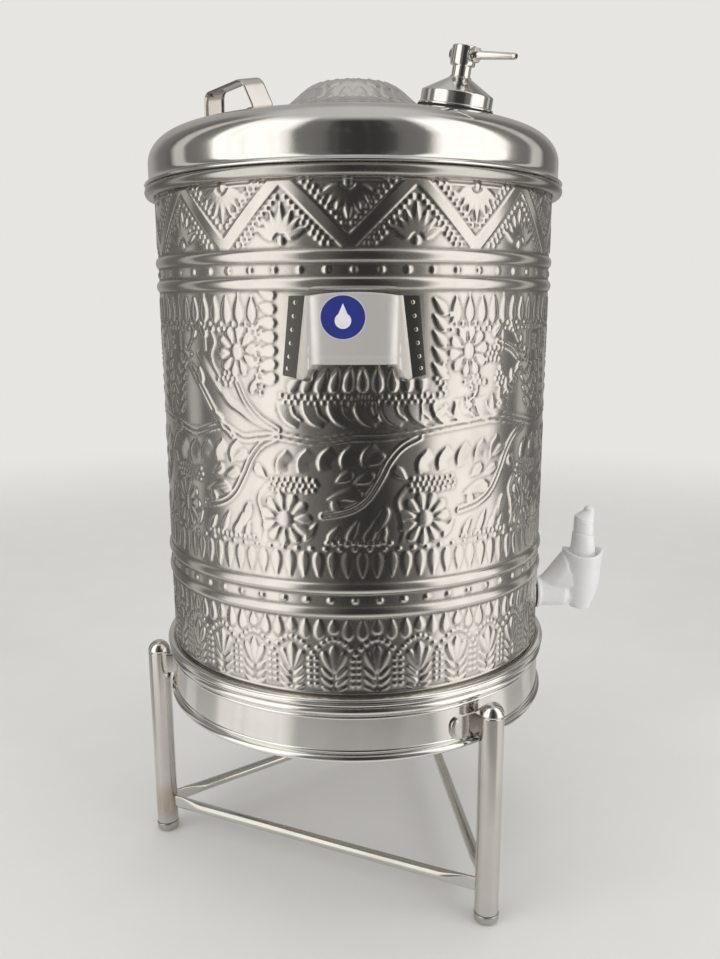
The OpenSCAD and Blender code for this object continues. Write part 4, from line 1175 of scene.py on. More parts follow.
def leg_place(index: int) -> Place:
    """Frame at a leg's foot, with its x axis outwards. Leg 0 is the rear one, 1 the left and 2 the right."""
    a = math.radians(LEG_TURN + 120 * index)
    return Place((LEG_RADIUS * math.cos(a), LEG_RADIUS * math.sin(a), 0.0), (math.cos(a), math.sin(a), 0.0))


@dataclass
class Stand:
    """Hoop with beaded edges, three capped legs on plugs, braces with pinched ends, and leg brackets."""

    hoop_radius: float = 163.0
    hoop_low: float = 148.0
    hoop_high: float = 192.0
    hoop_bead: float = 3.0
    hoop_line: tuple[float, float] = (0.75, 1.3)
    hoop_line_in: float = 8.6
    sheet: float = 1.2
    leg_radius: float = 9.5
    leg_top: float = 176.5
    foot_height: float = 8.0
    foot_radius: float = 10.0
    brace_height: float = 29.0
    brace_radius: float = 4.75
    pinch_wide: float = 1.5
    pinch_tall: float = 5.7
    bracket_height: float = 165.6
    bracket_radius: float = 164.0

    def build(self) -> None:
        """Makes the hoop, the legs with their caps and plugs, the braces and the brackets."""
        self.hoop()
        for index, node in enumerate(("leg_rear", "leg_left", "leg_right")):
            self.leg(index, node)
        self.caps_and_plugs()
        for index, node in enumerate(("brace_left", "brace_front", "brace_right")):
            self.brace(index, node)
        self.brackets()

    def hoop(self) -> None:
        """Band between two round beads, each with a thin pressed line beside it, turned round the axis."""
        r, low, high, bead = self.hoop_radius, self.hoop_low, self.hoop_high, self.hoop_bead
        out, tall = self.hoop_line
        wall, half = self.sheet, self.sheet / 2
        profile = np.concatenate([
            arc(r, low + bead, bead, -90, 90, 14),
            arc(r, low + self.hoop_line_in, out, -90, 90, 8, tall),
            arc(r, high - self.hoop_line_in, out, -90, 90, 8, tall),
            arc(r, high - bead, bead, -90, 90, 14),
            [[r - half, high], [r - wall, high - half], [r - wall, low + half], [r - half, low]],
        ])
        band = Shell().closed(revolve(profile, cols=ROUND_STEPS), ring=True)
        band.make("hoop_band", "stand", POLISHED, ["stand_hoop"])

    def leg(self, index: int, node: str) -> None:
        """Tube with eased ends, faintly uneven: its radius swells and shrinks by a few hundredths along it.

        Args:
            index: Number of the leg.
            node: Solid that it replaces.
        """
        r, low, high = self.leg_radius, self.foot_height + 0.25, self.leg_top - 0.25
        z = np.linspace(low + 0.6, high - 0.6, 40)
        outside = np.stack([r + 0.04 * np.sin(z / 17) + 0.03 * np.sin(z / 7.3), z], -1)
        wall, half = self.sheet, self.sheet / 2
        inside = [[r - half, high], [r - wall, high - 0.3], [r - wall, low + 0.3], [r - half, low]]
        tube = revolve(np.concatenate([outside, inside]), leg_place(index), 56)
        finish = TINTED if index == 1 else TUBE
        Shell().closed(tube, ring=True).make(f"leg_tube_{node[4:]}", "stand", finish, [node])

    def caps_and_plugs(self) -> None:
        """Half-round caps with an eased lower edge, and foot plugs with a soft sole and an eased top edge."""
        caps, plugs = Shell(), Shell()
        r, f, top, low = self.leg_radius, self.foot_radius, self.leg_top, self.foot_height
        cap = np.concatenate([
            [[r - 1.3, top - 6], [r - 1.3, top - 0.1], [r - 0.35, top]],
            arc(0, top, r, 4, 89.5, 16),
        ])
        plug = np.concatenate([
            arc(f - 4.0, 4.0, 4.0, -90, 0, 10),
            arc(f - 0.9, low - 0.9, 0.9, 0, 90, 5),
            [[r - 1.4, low], [r - 1.4, low + 6]],
        ])
        for index in range(3):
            caps.closed(revolve(cap, leg_place(index), 56))
            plugs.closed(revolve(plug, leg_place(index), 56))
        caps.make("leg_cap_domes", "stand", POLISHED, ["leg_caps"])
        plugs.make("leg_foot_plugs", "stand", DARK_PLUG_AND_RIM_SHADE, ["foot_plugs"])

    def brace(self, index: int, node: str) -> None:
        """Tube whose round section eases into a flat upright one at both ends: a superellipse along its run.

        Args:
            index: Number of the leg that it starts at.
            node: Solid that it replaces.
        """
        a = math.radians(LEG_TURN + 120 * index)
        length = LEG_RADIUS * math.sqrt(3)
        way = math.radians(LEG_TURN + 120 * index + 150)
        foot = (LEG_RADIUS * math.cos(a), LEG_RADIUS * math.sin(a), self.brace_height)
        start = Place(foot, (math.cos(way), math.sin(way), 0.0))
        first, middle = np.linspace(7, 40, 26), np.linspace(48, length - 48, 20)
        x = np.concatenate([first, middle, np.linspace(length - 40, length - 7, 26)])
        round_off = ease((np.minimum(x, length - x) - 14) / 26)[:, None]
        power = 0.42 + 0.58 * round_off
        turn = np.linspace(0, 2 * np.pi, 40, endpoint=False)
        c, s = np.cos(turn), np.sin(turn)
        wide = self.pinch_wide + (self.brace_radius - self.pinch_wide) * round_off
        tall = self.pinch_tall + (self.brace_radius - self.pinch_tall) * round_off
        bow = 0.25 * np.sin(np.pi * x / length)[:, None]
        across = wide * np.sign(c) * np.abs(c) ** power
        height = tall * np.sign(s) * np.abs(s) ** power - bow
        local = np.stack([x[:, None] + 0 * turn, across, height], -1)
        Shell().closed(start.to(local)).make(f"{node}_tube", "stand", TUBE, [node])

    def brackets(self) -> None:
        """Tongues that hug the hoop, made of shrinking outlines on its cylinder, and saddles to the legs."""
        shell = Shell()
        outline = rounded([
            (6.6, -9, 1.5), (6.6, 9, 1.5), (-19, 9, 0.5), (-28, 9, 8.6), (-28, -9, 8.6), (-19, -9, 0.5),
        ], 10)
        scale = np.array([1, 1, 0.985, 0.955, 0.7, 0.45, 0.2, 0.02])
        reach = np.array([162.7, 164.5, 165.1, 165.4, 165.4, 165.4, 165.4, 165.4])[:, None]
        middle = np.array([-9.0, 0.0])
        flat = middle + (outline[None] - middle) * scale[:, None, None]
        z = self.bracket_height + flat[..., 1]
        saddle = rounded([(-6.6, -9, 1.6), (6.6, -9, 1.6), (6.6, 9, 1.6), (-6.6, 9, 1.6)], 5)
        x = np.array([163.2, 165.0, 168.0, 171.2])[:, None]
        block = np.stack([
            x + 0 * saddle[:, 0] - LEG_RADIUS,
            saddle[:, 0] + 0 * x,
            saddle[:, 1] + self.bracket_height + 0 * x,
        ], -1)
        for index in range(3):
            a = math.radians(LEG_TURN + 120 * index) + flat[..., 0] / self.bracket_radius
            shell.closed(np.stack([reach * np.cos(a), reach * np.sin(a), z], -1))
            shell.closed(leg_place(index).to(block))
        shell.make("leg_bracket_tongues", "stand", BRIGHT, ["leg_brackets"])


@dataclass
class Drum:
    """Embossed wall in stacked rings, rolled rim, and grooved base bead with its foot ring."""

    radius: float = 160.0
    sheet: float = 1.0
    rings: int = 6
    rim_centre: tuple[float, float] = (163.9, 566.0)
    rim_radius: float = 4.4
    base_centre: tuple[float, float] = (163.55, 195.8)
    base_radius: float = 3.5
    grooves: tuple[float, ...] = (34.0, -8.0)
    groove_depth: float = 0.4
    groove_width: float = 5.0
    hollow_passes: int = 4
    hollow_depth: float = 0.20

    def build(self) -> None:
        """Makes the wall, the rim and the base."""
        self.wall()
        self.rim()
        self.base()

    def rim(self) -> None:
        """Rolled rim: a circle turned round the axis."""
        circle = arc(*self.rim_centre, self.rim_radius, 0, 360, 30)[:-1]
        # Painted shade: the rim takes the darker steel in place of the shade under the lid's lip.
        Shell().closed(revolve(circle, cols=ROUND_STEPS), ring=True).make("drum_rim_roll", "drum", DARK_PLUG_AND_RIM_SHADE)

    def base(self) -> None:
        """Base bead, whose grooves are bell curves over its angle, and the foot ring's skirt under it."""
        a = np.radians(np.linspace(-90, 162, 60))
        bells = (np.exp(-(((np.degrees(a) - at) / self.groove_width) ** 2)) for at in self.grooves)
        r = self.base_radius - sum(self.groove_depth * bell for bell in bells)
        bead = np.stack([self.base_centre[0] + r * np.cos(a), self.base_centre[1] + r * np.sin(a)], -1)
        skirt = [
            [159.2, 197.2], [159.2, 193.8], [157.6, 193.8], [157.6, 182.6], [157.9, 182.3], [158.5, 182.3],
            [158.8, 182.6], [158.8, 192.3],
        ]
        grid = revolve(np.concatenate([bead, skirt]), cols=ROUND_STEPS)
        Shell().closed(grid, ring=True).make("drum_base_bead", "drum", POLISHED, ["foot_ring"])

    def wall(self) -> None:
        """Rings of the pressed wall: radius + relief outside, a cylinder inside, normals from the slopes."""
        r = Ornament().build()
        h, s = r.height, np.radians(r.turn)
        out = self.radius + h
        step = math.radians(r.step)
        slope_s = (np.roll(h, -1, 1) - np.roll(h, 1, 1)) / (2 * step) / out
        slope_z = np.gradient(h, r.pitch, axis=0)
        up = np.array([0.0, 0.0, 1.0])
        er = np.stack([np.sin(s), -np.cos(s), 0 * s], -1)[None]
        es = np.stack([np.cos(s), np.sin(s), 0 * s], -1)[None]
        normal = er - slope_s[..., None] * es - slope_z[..., None] * up
        normal /= np.linalg.norm(normal, axis=-1, keepdims=True)
        points = out[..., None] * er + r.z[:, None, None] * up
        # Painted shade: how far the relief sits below its blurred self, 0 to 1, which darkens the steel's
        # colour.
        hollow = np.clip((r.blurred(h, self.hollow_passes) - h) / self.hollow_depth, 0, 1)
        plain = np.concatenate([er, er])
        cuts = np.linspace(0, r.rows - 1, self.rings + 1).astype(int)
        for k, (a, b) in enumerate(zip(cuts[:-1], cuts[1:])):
            name = f"drum_wall_{k + 1}"
            inside = (self.radius - self.sheet) * plain + np.array([r.z[b], r.z[a]])[:, None, None] * up
            grid = np.concatenate([points[a : b + 1], inside])
            normals = np.concatenate([normal[a : b + 1], -plain])
            depth = np.concatenate([hollow[a : b + 1], np.zeros((2, r.cols))])
            mesh = bpy.data.meshes.new(name)
            mesh.from_pydata((grid.reshape(-1, 3) * MM).tolist(), [], Shell.quads(grid, True, True).tolist())
            mesh.shade_smooth()
            mesh.normals_split_custom_set_from_vertices(normals.reshape(-1, 3).tolist())
            shade = mesh.attributes.new("hollow", "FLOAT", "POINT")
            shade.data.foreach_set("value", depth.astype(np.float32).ravel())
            hang(mesh, name, "drum", EMBOSSED, ["drum_shell"] if k == 0 else [])


@dataclass
class PocketHandle:
    """Pressed pocket handle: an arched plate that leans out towards its open bottom, with welded flanges."""

    radius: float = 160.0
    half: float = 30.0
    top: float = 488.8
    low: float = 442.8
    flange_low: float = 433.3
    top_out: float = 8.0
    low_out: float = 22.0
    sheet: float = 1.2
    flange_top: float = 43.5
    flange_bottom: float = 49.0
    corner: float = 9.0
    splay: float = 8.0
    ear_drop: float = 2.4
    flange_cols: int = 7
    flange_lift: float = 1.5
    hem: float = 447.6
    bow: float = 1.4
    arch: float = 2.4
    spots: tuple[tuple[float, float], ...] = (
        (482, 39.0), (473, 40.2), (464, 41.4), (455, 42.6), (446, 43.8), (438, 45.0),
    )
    label_x: float = -7.3
    label_drop: float = 17.0
    label_radius: float = 15.0

    def build(self) -> None:
        """Makes the front and the rear handle with their welds, and the front label."""
        for side, turn in (("front", 1.0), ("rear", -1.0)):
            flip = np.array([turn, turn, 1.0])
            grid = self.surface() * flip
            edge = self.flange_cols
            pocket = Shell().sheet(grid[:, edge - 1 : 1 - edge], self.sheet)
            pocket.make(f"{side}_handle_pressing", "drum", SATIN, [f"{side}_handle"], 40)
            flanges = Shell().sheet(grid[:, :edge], self.sheet).sheet(grid[:, -edge:], self.sheet)
            flanges.make(f"{side}_handle_flanges", "drum", BRIGHT, (), 40)
            self.welds(side, flip)
        self.label()

    def plate(self, x: Array, z: Array) -> Array:
        """Outward reach of the plate at a place: a leaning plane, bowed across and stepped at its hem."""
        out = self.top_out + (self.low_out - self.top_out) * (self.top - z) / (self.top - self.low)
        return self.radius + out + self.bow * (1 - (x / self.half) ** 2) + 0.3 * ease((self.hem - z) / 1.2)

    def surface(self) -> Array:
        """Open grid from hem to roof: across it run flange, fillet, side wall, corner, plate and so back.

        Returns:
            Grid as (rows, cols, 3), whose outside faces away from the drum.
        """
        flange = np.stack([np.linspace(1, 0, 7)[:-1], np.zeros(6)], -1)
        fillet = np.stack([np.zeros(5), 0.16 * np.linspace(0, 1, 6)[:-1] ** 2], -1)
        wall = np.stack([np.zeros(9), np.linspace(0.16, 0.70, 10)[:-1]], -1)
        turn = np.radians(np.linspace(0, 90, 13))
        edge = np.stack([-(1 - np.cos(turn)), 0.70 + 0.30 * np.sin(turn)], -1)
        flat = np.stack([np.linspace(-1, -self.half / self.corner, 12)[1:], np.ones(11)], -1)
        half = np.concatenate([flange, fillet, wall, edge, flat])
        u, k = half[None, :, 0], half[None, :, 1]
        v = np.concatenate([
            [-0.03, -0.012], np.linspace(0, 0.1, 7), np.linspace(0.12, 0.16, 8), np.linspace(0.2, 0.96, 22),
            [0.98, 0.995, 1.0, 1.0, 1.0],
        ])[:, None]
        draw = np.concatenate([np.ones(len(v) - 5), [1.0, 0.97, 0.9, 0.55, 0.16]])[:, None]
        ear = self.ear_drop * np.exp(-(((k - 0.12) / 0.3) ** 2)) * np.clip(1 - u, 0, 1)
        low = self.flange_low - ear + (self.low - self.flange_low) * ease((k - 0.42) / 0.56)
        arch = self.arch * np.where(u < 0, np.clip(1 + u * self.corner / self.half, 0, 1), 1.0) ** 2
        z = low + (self.top - arch - low) * np.clip(v, 0, 1)
        drop = np.clip((self.top - z) / (self.top - self.flange_low), 0, 1)
        foot = self.flange_top + (self.flange_bottom - self.flange_top) * drop
        spread = (1.2 + (self.splay - 1.2) * drop) * np.clip(1 - k / 0.9, 0, 1)
        splay = self.half + spread + 1.4 * np.clip(1 - k / 0.16, 0, 1) ** 2
        x = np.where(u > 0, splay + (foot - splay) * u, np.where(u < 0, self.half + u * self.corner, splay))
        base = np.sqrt(self.radius**2 - x**2) + self.sheet + self.flange_lift * np.clip(u, 0, 1)
        reach = base + k * draw * (self.plate(np.minimum(x, self.half), z) - base)
        curl = np.clip(-v, 0, 1) * 60 * (k > 0.9)
        right = np.stack([x, -(reach - curl), z - 0.6 * (curl > 0)], -1)
        left = right * np.array([-1.0, 1.0, 1.0])
        return np.concatenate([left, right[:, ::-1][:, 1:]], 1)

    def welds(self, side: str, flip: Array) -> None:
        """Spot welds down both flanges: shallow domes, each turned round the drum's own normal.

        Args:
            side: Name of the handle's side.
            flip: Factors that turn points of the front handle into this handle's.
        """
        shell = Shell()
        profile = np.array([[1.5, -0.4], [1.45, 0.10], [1.2, 0.34], [0.8, 0.46], [0.4, 0.50], [0.02, 0.50]])
        for sign in (-1, 1):
            for z, x in self.spots:
                a = math.asin(x / self.radius)
                n = (sign * math.sin(a), -math.cos(a), 0.0)
                r = self.radius + self.sheet + self.flange_lift * 0.5
                shell.closed(revolve(profile, Place((n[0] * r, n[1] * r, z), (0.0, 0.0, 1.0), n), 14) * flip)
        shell.make(f"{side}_handle_welds", "drum", TUBE)

    def label(self) -> None:
        """Round label on the front plate: shrinking rings laid on its surface, with a UV map of -1 to 1."""
        x0, drop, radius = self.label_x, self.label_drop, self.label_radius
        lean = math.atan2(self.low_out - self.top_out, self.top - self.low)
        rho = np.concatenate([[1.0, 1.0], np.linspace(0.995, 0.02, 14)])[:, None]
        lift = np.concatenate([[-0.3, 0.1], np.full(14, 0.25)])[:, None]
        a = np.linspace(0, 2 * np.pi, 72, endpoint=False)
        u, v = rho * np.cos(a), rho * np.sin(a)
        x, z = x0 + radius * u, self.top - drop * math.cos(lean) + radius * v * math.cos(lean)
        points = np.stack([x, -(self.plate(x, z) + lift), z], -1)
        piece = Shell().closed(points).make("front_label_disc", "drum", BLUE_LABEL, ["handle_label"])
        mesh = piece.data
        co = np.empty(len(mesh.vertices) * 3)
        mesh.vertices.foreach_get("co", co)
        co = co.reshape(-1, 3) / MM
        across, above = co[:, 0] - x0, co[:, 2] - self.top + drop * math.cos(lean)
        flat = np.stack([across / radius, above / radius / math.cos(lean)], -1)
        corner = np.empty(len(mesh.loops), np.int32)
        mesh.loops.foreach_get("vertex_index", corner)
        mesh.uv_layers.new(name="label").data.foreach_set("uv", flat[corner].astype(np.float32).ravel())


@dataclass
class Tap:
    """White moulded tap: nozzle and cup, inlet barrel with a nose, web, flange, and the thumb plug."""

    x: float = 204.7
    inlet: float = 224.0
    cup_radius: float = 18.0
    shoulder: float = 244.4
    rim: float = 261.0
    rim_lift: float = 4.5
    saddle: float = 5.0
    weld_voxel: float = 0.7
    weld_soften: int = 7
    web_half: float = 9.0
    web_cup: float = 13.4
    web_middle: tuple[float, float] = (192.0, 241.0)

    def build(self) -> None:
        """Makes the body and the plug."""
        self.body()
        self.plug()

    def body(self) -> None:
        """Cup and nozzle turned round the spindle, barrel turned round the inlet, web of inset outlines.

        The cup is stretched above its shoulder, so that its rim is a saddle: an arc along the way out.
        """
        shell = Shell()
        profile = np.concatenate([
            [[0.02, 215], [6, 215], [6, 210.6], [6.4, 210], [9.0, 210], [9.5, 210.5], [9.5, 213]],
            smooth_line([(9.8, 213.4), (12.4, 219.5), (14.8, 227.5), (16.4, 236), (17.1, 244.4)], 5),
            [[17.3, 249], [17.7, 254], [17.95, 258.5], [18, 260], [17.6, 261], [16.6, 261.2], [15.7, 260.8]],
            [[15.5, 259.8], [15.5, 252], [15.5, 247.9], [15, 247.5], [0.02, 247.5]],
        ])
        cup = revolve(profile, Place((self.x, 0.0, 0.0)), 96)
        bow = (self.cup_radius**2 + self.saddle**2) / (2 * self.saddle)
        across = np.clip(cup[..., 0] - self.x, -self.cup_radius, self.cup_radius)
        edge = self.rim + self.rim_lift - self.saddle + bow - np.sqrt(bow**2 - across**2)
        low = self.shoulder
        rise = profile[:, 1:] > low
        share = np.where(rise, (cup[..., 2] - low) / (self.rim - low), 0)
        inner = (np.arange(len(profile)) > len(profile) - 4)[:, None]
        cup[..., 2] = np.where(rise & ~inner, low + share * (edge - low), cup[..., 2])
        shell.closed(cup)
        along = Place((0.0, 0.0, self.inlet), (0.0, 0.0, -1.0), (1.0, 0.0, 0.0))
        barrel = np.concatenate([
            [[10.0, 145.0], [10.0, 162.9], [14.2, 163.0]],
            arc(13.7, 165.2, 0.8, 0, 90, 4),
            [[12.9, 166.4], [12.5, 167.2], [12.5, 180.0]],
            arc(8.4, 186.6, 4.3, 0, 68, 8, 5.2),
            [[9.4, 192.2], [9.4, 200.0]],
        ])
        shell.closed(revolve(barrel, along, 72))
        outline = rounded([
            (165.5, 226, 0.5), (203, 226, 0.5), (203, 246.5, 0.5), (190.5, 247.2, 0.5), (188.4, 257, 0.5),
            (186.6, 261.5, 1.5), (169, 239.4, 3.0), (165.5, 236.5, 0.5),
        ], 5)
        turn = np.radians(np.linspace(-90, 90, 25))[:, None, None]
        middle = np.array(self.web_middle)
        flat = middle + (outline[None] - middle) * (0.40 + 0.60 * np.cos(turn))
        half = self.web_half + (self.web_cup - self.web_half) * ease((flat[..., 0] - 170) / 22)
        shell.closed(np.stack([flat[..., 0], half * np.sin(turn[..., 0]), flat[..., 1]], -1))
        piece = shell.make("tap_body_moulding", "drum", TAP_WHITE, ["tap_body"], 30)
        weld = piece.modifiers.new("weld", "REMESH")
        weld.mode = "VOXEL"
        weld.voxel_size = self.weld_voxel * MM
        weld.use_smooth_shade = True
        soften = piece.modifiers.new("soften", "SMOOTH")
        soften.factor = 0.5
        soften.iterations = self.weld_soften

    def plug(self) -> None:
        """Stem with two grooves that leans into a thumb tip: circles that shrink, shift and slant along it.

        The slant starts higher on the drum's side, so its edge runs down towards the front.
        """
        stem = np.concatenate([
            np.linspace(247.7, 277.4, 10), np.linspace(277.9, 280.6, 11), np.linspace(281.4, 288.9, 5),
            np.linspace(289.2, 291.4, 9),
        ])
        radius = np.interp(stem, [247, 263, 278.6, 279.6, 292], [12.0, 11.2, 9.6, 9.0, 8.8])
        radius -= 0.6 * np.exp(-(((stem - 279.3) / 0.5) ** 2)) + 0.5 * np.exp(-(((stem - 290.4) / 0.45) ** 2))
        t = np.linspace(0.06, 1, 12)
        slant_r, slant_z, slant_x = 8.8 - 3.9 * t, 291.6 + 7.5 * t, 4.0 * t
        a = np.radians(np.linspace(10, 89, 9))
        r = np.concatenate([radius, slant_r, 4.9 * np.cos(a)])
        z = np.concatenate([stem, slant_z, 299.1 + 4.9 * np.sin(a)])
        off = np.concatenate([0 * stem, slant_x, 4.0 + 0 * a])
        turn = np.linspace(0, 2 * np.pi, 64, endpoint=False)
        slope = np.interp(z, [247, 270, 279, 291.4, 299, 305], [0, 0, 1.4, 3.0, 0.6, 0])
        x = self.x + off[:, None] + r[:, None] * np.cos(turn)
        height = z[:, None] - slope[:, None] * np.cos(turn)
        grid = np.stack([x, r[:, None] * np.sin(turn), height], -1)
        skirt = np.array([
            [0.02, 215.2], [8.6, 215.2], [10.4, 247.4], [15.1, 247.7], [15.2, 248.2], [15.2, 250.6],
            [14.9, 250.9], [9.8, 251.0],
        ])
        foot = revolve(skirt, Place((self.x, 0.0, 0.0)), 64)
        Shell().closed(grid).closed(foot).make("tap_thumb_plug", "tap_valve", TAP_WHITE, ["tap_plug"], 24)


@dataclass
class Lid:
    """Dished lid with a rolled lip, a steep shoulder and a raised rosette dome, and the strap handle on it.

    A row of petals is given by its inner and outer radius, and its petals' number, shift and height.
    """

    radius: float = 164.6
    low: float = 570.7
    shoulder_centre: tuple[float, float] = (134.9, 587.2)
    shoulder_size: tuple[float, float] = (29.7, 24.2)
    shoulder_end: float = 75.1
    cone_foot: tuple[float, float] = (142.517, 610.591)
    slope: float = 12.2
    dome_radius: float = 69.5
    dome_low: float = 626.38
    dome_rise: float = 25.2
    dome_flat: float = 28.0
    flare_rise: float = 1.6
    flare_radius: float = 66.0
    flare_width: float = 10.0
    sheet: float = 1.2
    cols: int = 432
    petals: tuple[tuple[float, ...], ...] = (
        (55.5, 69, 36, 0, 0.7), (44, 56.5, 30, 0.5, 0.7), (30.5, 45, 24, 0, 0.6), (7, 28.5, 12, 0.5, 0.6),
    )
    strap_place: tuple[float, ...] = (-85.77, -62.32, 618.48)
    strap_turn: float = 216.0
    strap_half: float = 8.75

    def build(self) -> None:
        """Makes the lid and its strap handle."""
        self.shell()
        self.strap()

    def outline(self, wall: float) -> Array:
        """Outside of the lid from skirt to axis, moved in by a wall: skirt, ellipse, cone and eased dome.

        Args:
            wall: Distance inwards, 0 for the outside.

        Returns:
            Points (r, z) as (n, 2).
        """
        skirt = np.stack([np.full(5, self.radius - wall), np.linspace(577.2, 586.5, 5)], -1)
        wide, tall = self.shoulder_size
        shoulder = arc(*self.shoulder_centre, wide - wall, 0, self.shoulder_end, 26, tall - wall)
        foot, height = self.cone_foot
        drop = wall * 1.023
        r = np.linspace(141.0, self.dome_radius + 1.5, 20)
        cone = np.stack([r, height + (foot - r) * math.tan(math.radians(self.slope)) - drop], -1)
        cone[:, 1] += self.flare(r)
        t = np.linspace(0, 1, 60)
        r = self.dome_radius + (self.dome_flat - self.dome_radius) * t
        dome = np.stack([r, self.dome_low + self.dome_rise * ease(t) + self.flare(r) - drop], -1)
        r = np.linspace(self.dome_flat - 1, 0.02, 12)
        crown = 0.6 * (1 - (r / self.dome_flat) ** 2) * (wall == 0)
        top = np.stack([r, np.full(12, self.dome_low + self.dome_rise - drop) + crown], -1)
        return np.concatenate([skirt, shoulder, cone, dome, top])

    def flare(self, r: Array) -> Array:
        """Soft swell that eases the dome's foot into the cone: a bell curve over the radius."""
        return self.flare_rise * np.exp(-(((r - self.flare_radius) / self.flare_width) ** 2))

    def shell(self) -> None:
        """Outside and inside joined under the lip and turned round the axis, with petals on the dome."""
        rim, low = self.radius, self.low
        lip = np.concatenate([
            arc(rim + 2.75, low + 0.85, 0.85, -90, 60, 8),
            smooth_line([(rim + 2.6, low + 2.2), (rim + 0.95, low + 3.2), (rim + 0.15, low + 5.0)], 4),
        ])
        outside, inside = self.outline(0), self.outline(self.sheet)[::-3]
        hem = [[rim - self.sheet, low + 0.4], [rim - self.sheet + 0.4, low]]
        profile = np.concatenate([lip, outside, inside, hem])
        grid = revolve(profile, cols=self.cols)
        a = np.linspace(0, 2 * np.pi, self.cols, endpoint=False)
        r = profile[:, :1]
        front = np.zeros(len(profile), bool)
        front[len(lip) : len(lip) + len(outside)] = True
        rise = np.zeros_like(grid[..., 2])
        for start, stop, count, shift, tall in self.petals:
            t = np.clip((r - start) / (stop - start), 0, 1)
            petal = np.abs(((a / (2 * np.pi) * count + shift) % 1) - 0.5) * 2
            half = np.sqrt(1 - t) * t * 2.4
            dome = tall * np.clip(1 - (petal / np.maximum(half, 1e-6)) ** 2, 0, 1) ** 0.6
            rise = np.maximum(rise, dome * ((r > start) & (r < stop)))
        rise = np.maximum(rise, 0.9 * np.sqrt(np.clip(1 - (r / 4.6) ** 2, 0, 1)) + 0 * a)
        grid[..., 2] += rise * front[:, None]
        Shell().closed(grid, ring=True).make("lid_pressing", "lid", LINED, ["lid_shell"])

    def strap(self) -> None:
        """Strap bent up off its turned-in feet, with rolled edges and a sunken middle, and its foot welds."""
        az, tip = math.radians(self.strap_turn), math.radians(self.slope)
        x_axis = (math.cos(az) * math.cos(tip), math.sin(az) * math.cos(tip), -math.sin(tip))
        z_axis = (math.cos(az) * math.sin(tip), math.sin(az) * math.sin(tip), math.cos(tip))
        place = Place(self.strap_place, x_axis, z_axis)
        path = rounded([
            (-27.5, -0.1, 0), (-37.2, -0.55, 3.4), (-28.2, 20.4, 7.0), (28.2, 20.4, 7.0), (37.2, -0.55, 3.4),
            (27.5, -0.1, 0),
        ], 9)[9:-9]
        path = np.concatenate([path[:1], path[1:][np.linalg.norm(np.diff(path, axis=0), axis=1) > 1e-6]])
        w = self.strap_half * np.sin(np.radians(np.linspace(-88, 88, 33)))
        end = np.sqrt(np.clip(1 - (w / self.strap_half) ** 14, 0, 1))
        over = (0.55 + 0.85 * np.exp(-(((np.abs(w) - 7.5) / 0.95) ** 2))) * end
        section = np.concatenate([np.stack([w, over], -1), np.stack([w, -0.75 * end], -1)[::-1]])
        local = np.concatenate([np.zeros((len(path), 1)), path], 1)
        grid = sweep(local, section, np.array([1.0, 0.0, 0.0]))
        shell = Shell().closed(place.to(grid))
        dot = np.array([[2.3, -1.6], [2.2, 0.25], [1.7, 0.5], [0.9, 0.42], [0.02, 0.38]])
        for y in (-32.4, 32.4):
            for x in (-4.5, 4.5):
                shell.closed(place.to(revolve(dot + [0.0, 0.55], Place((x, y, -0.3)), 16)))
        shell.make("lid_strap", "lid", BRIGHT, ["strap_handle"])


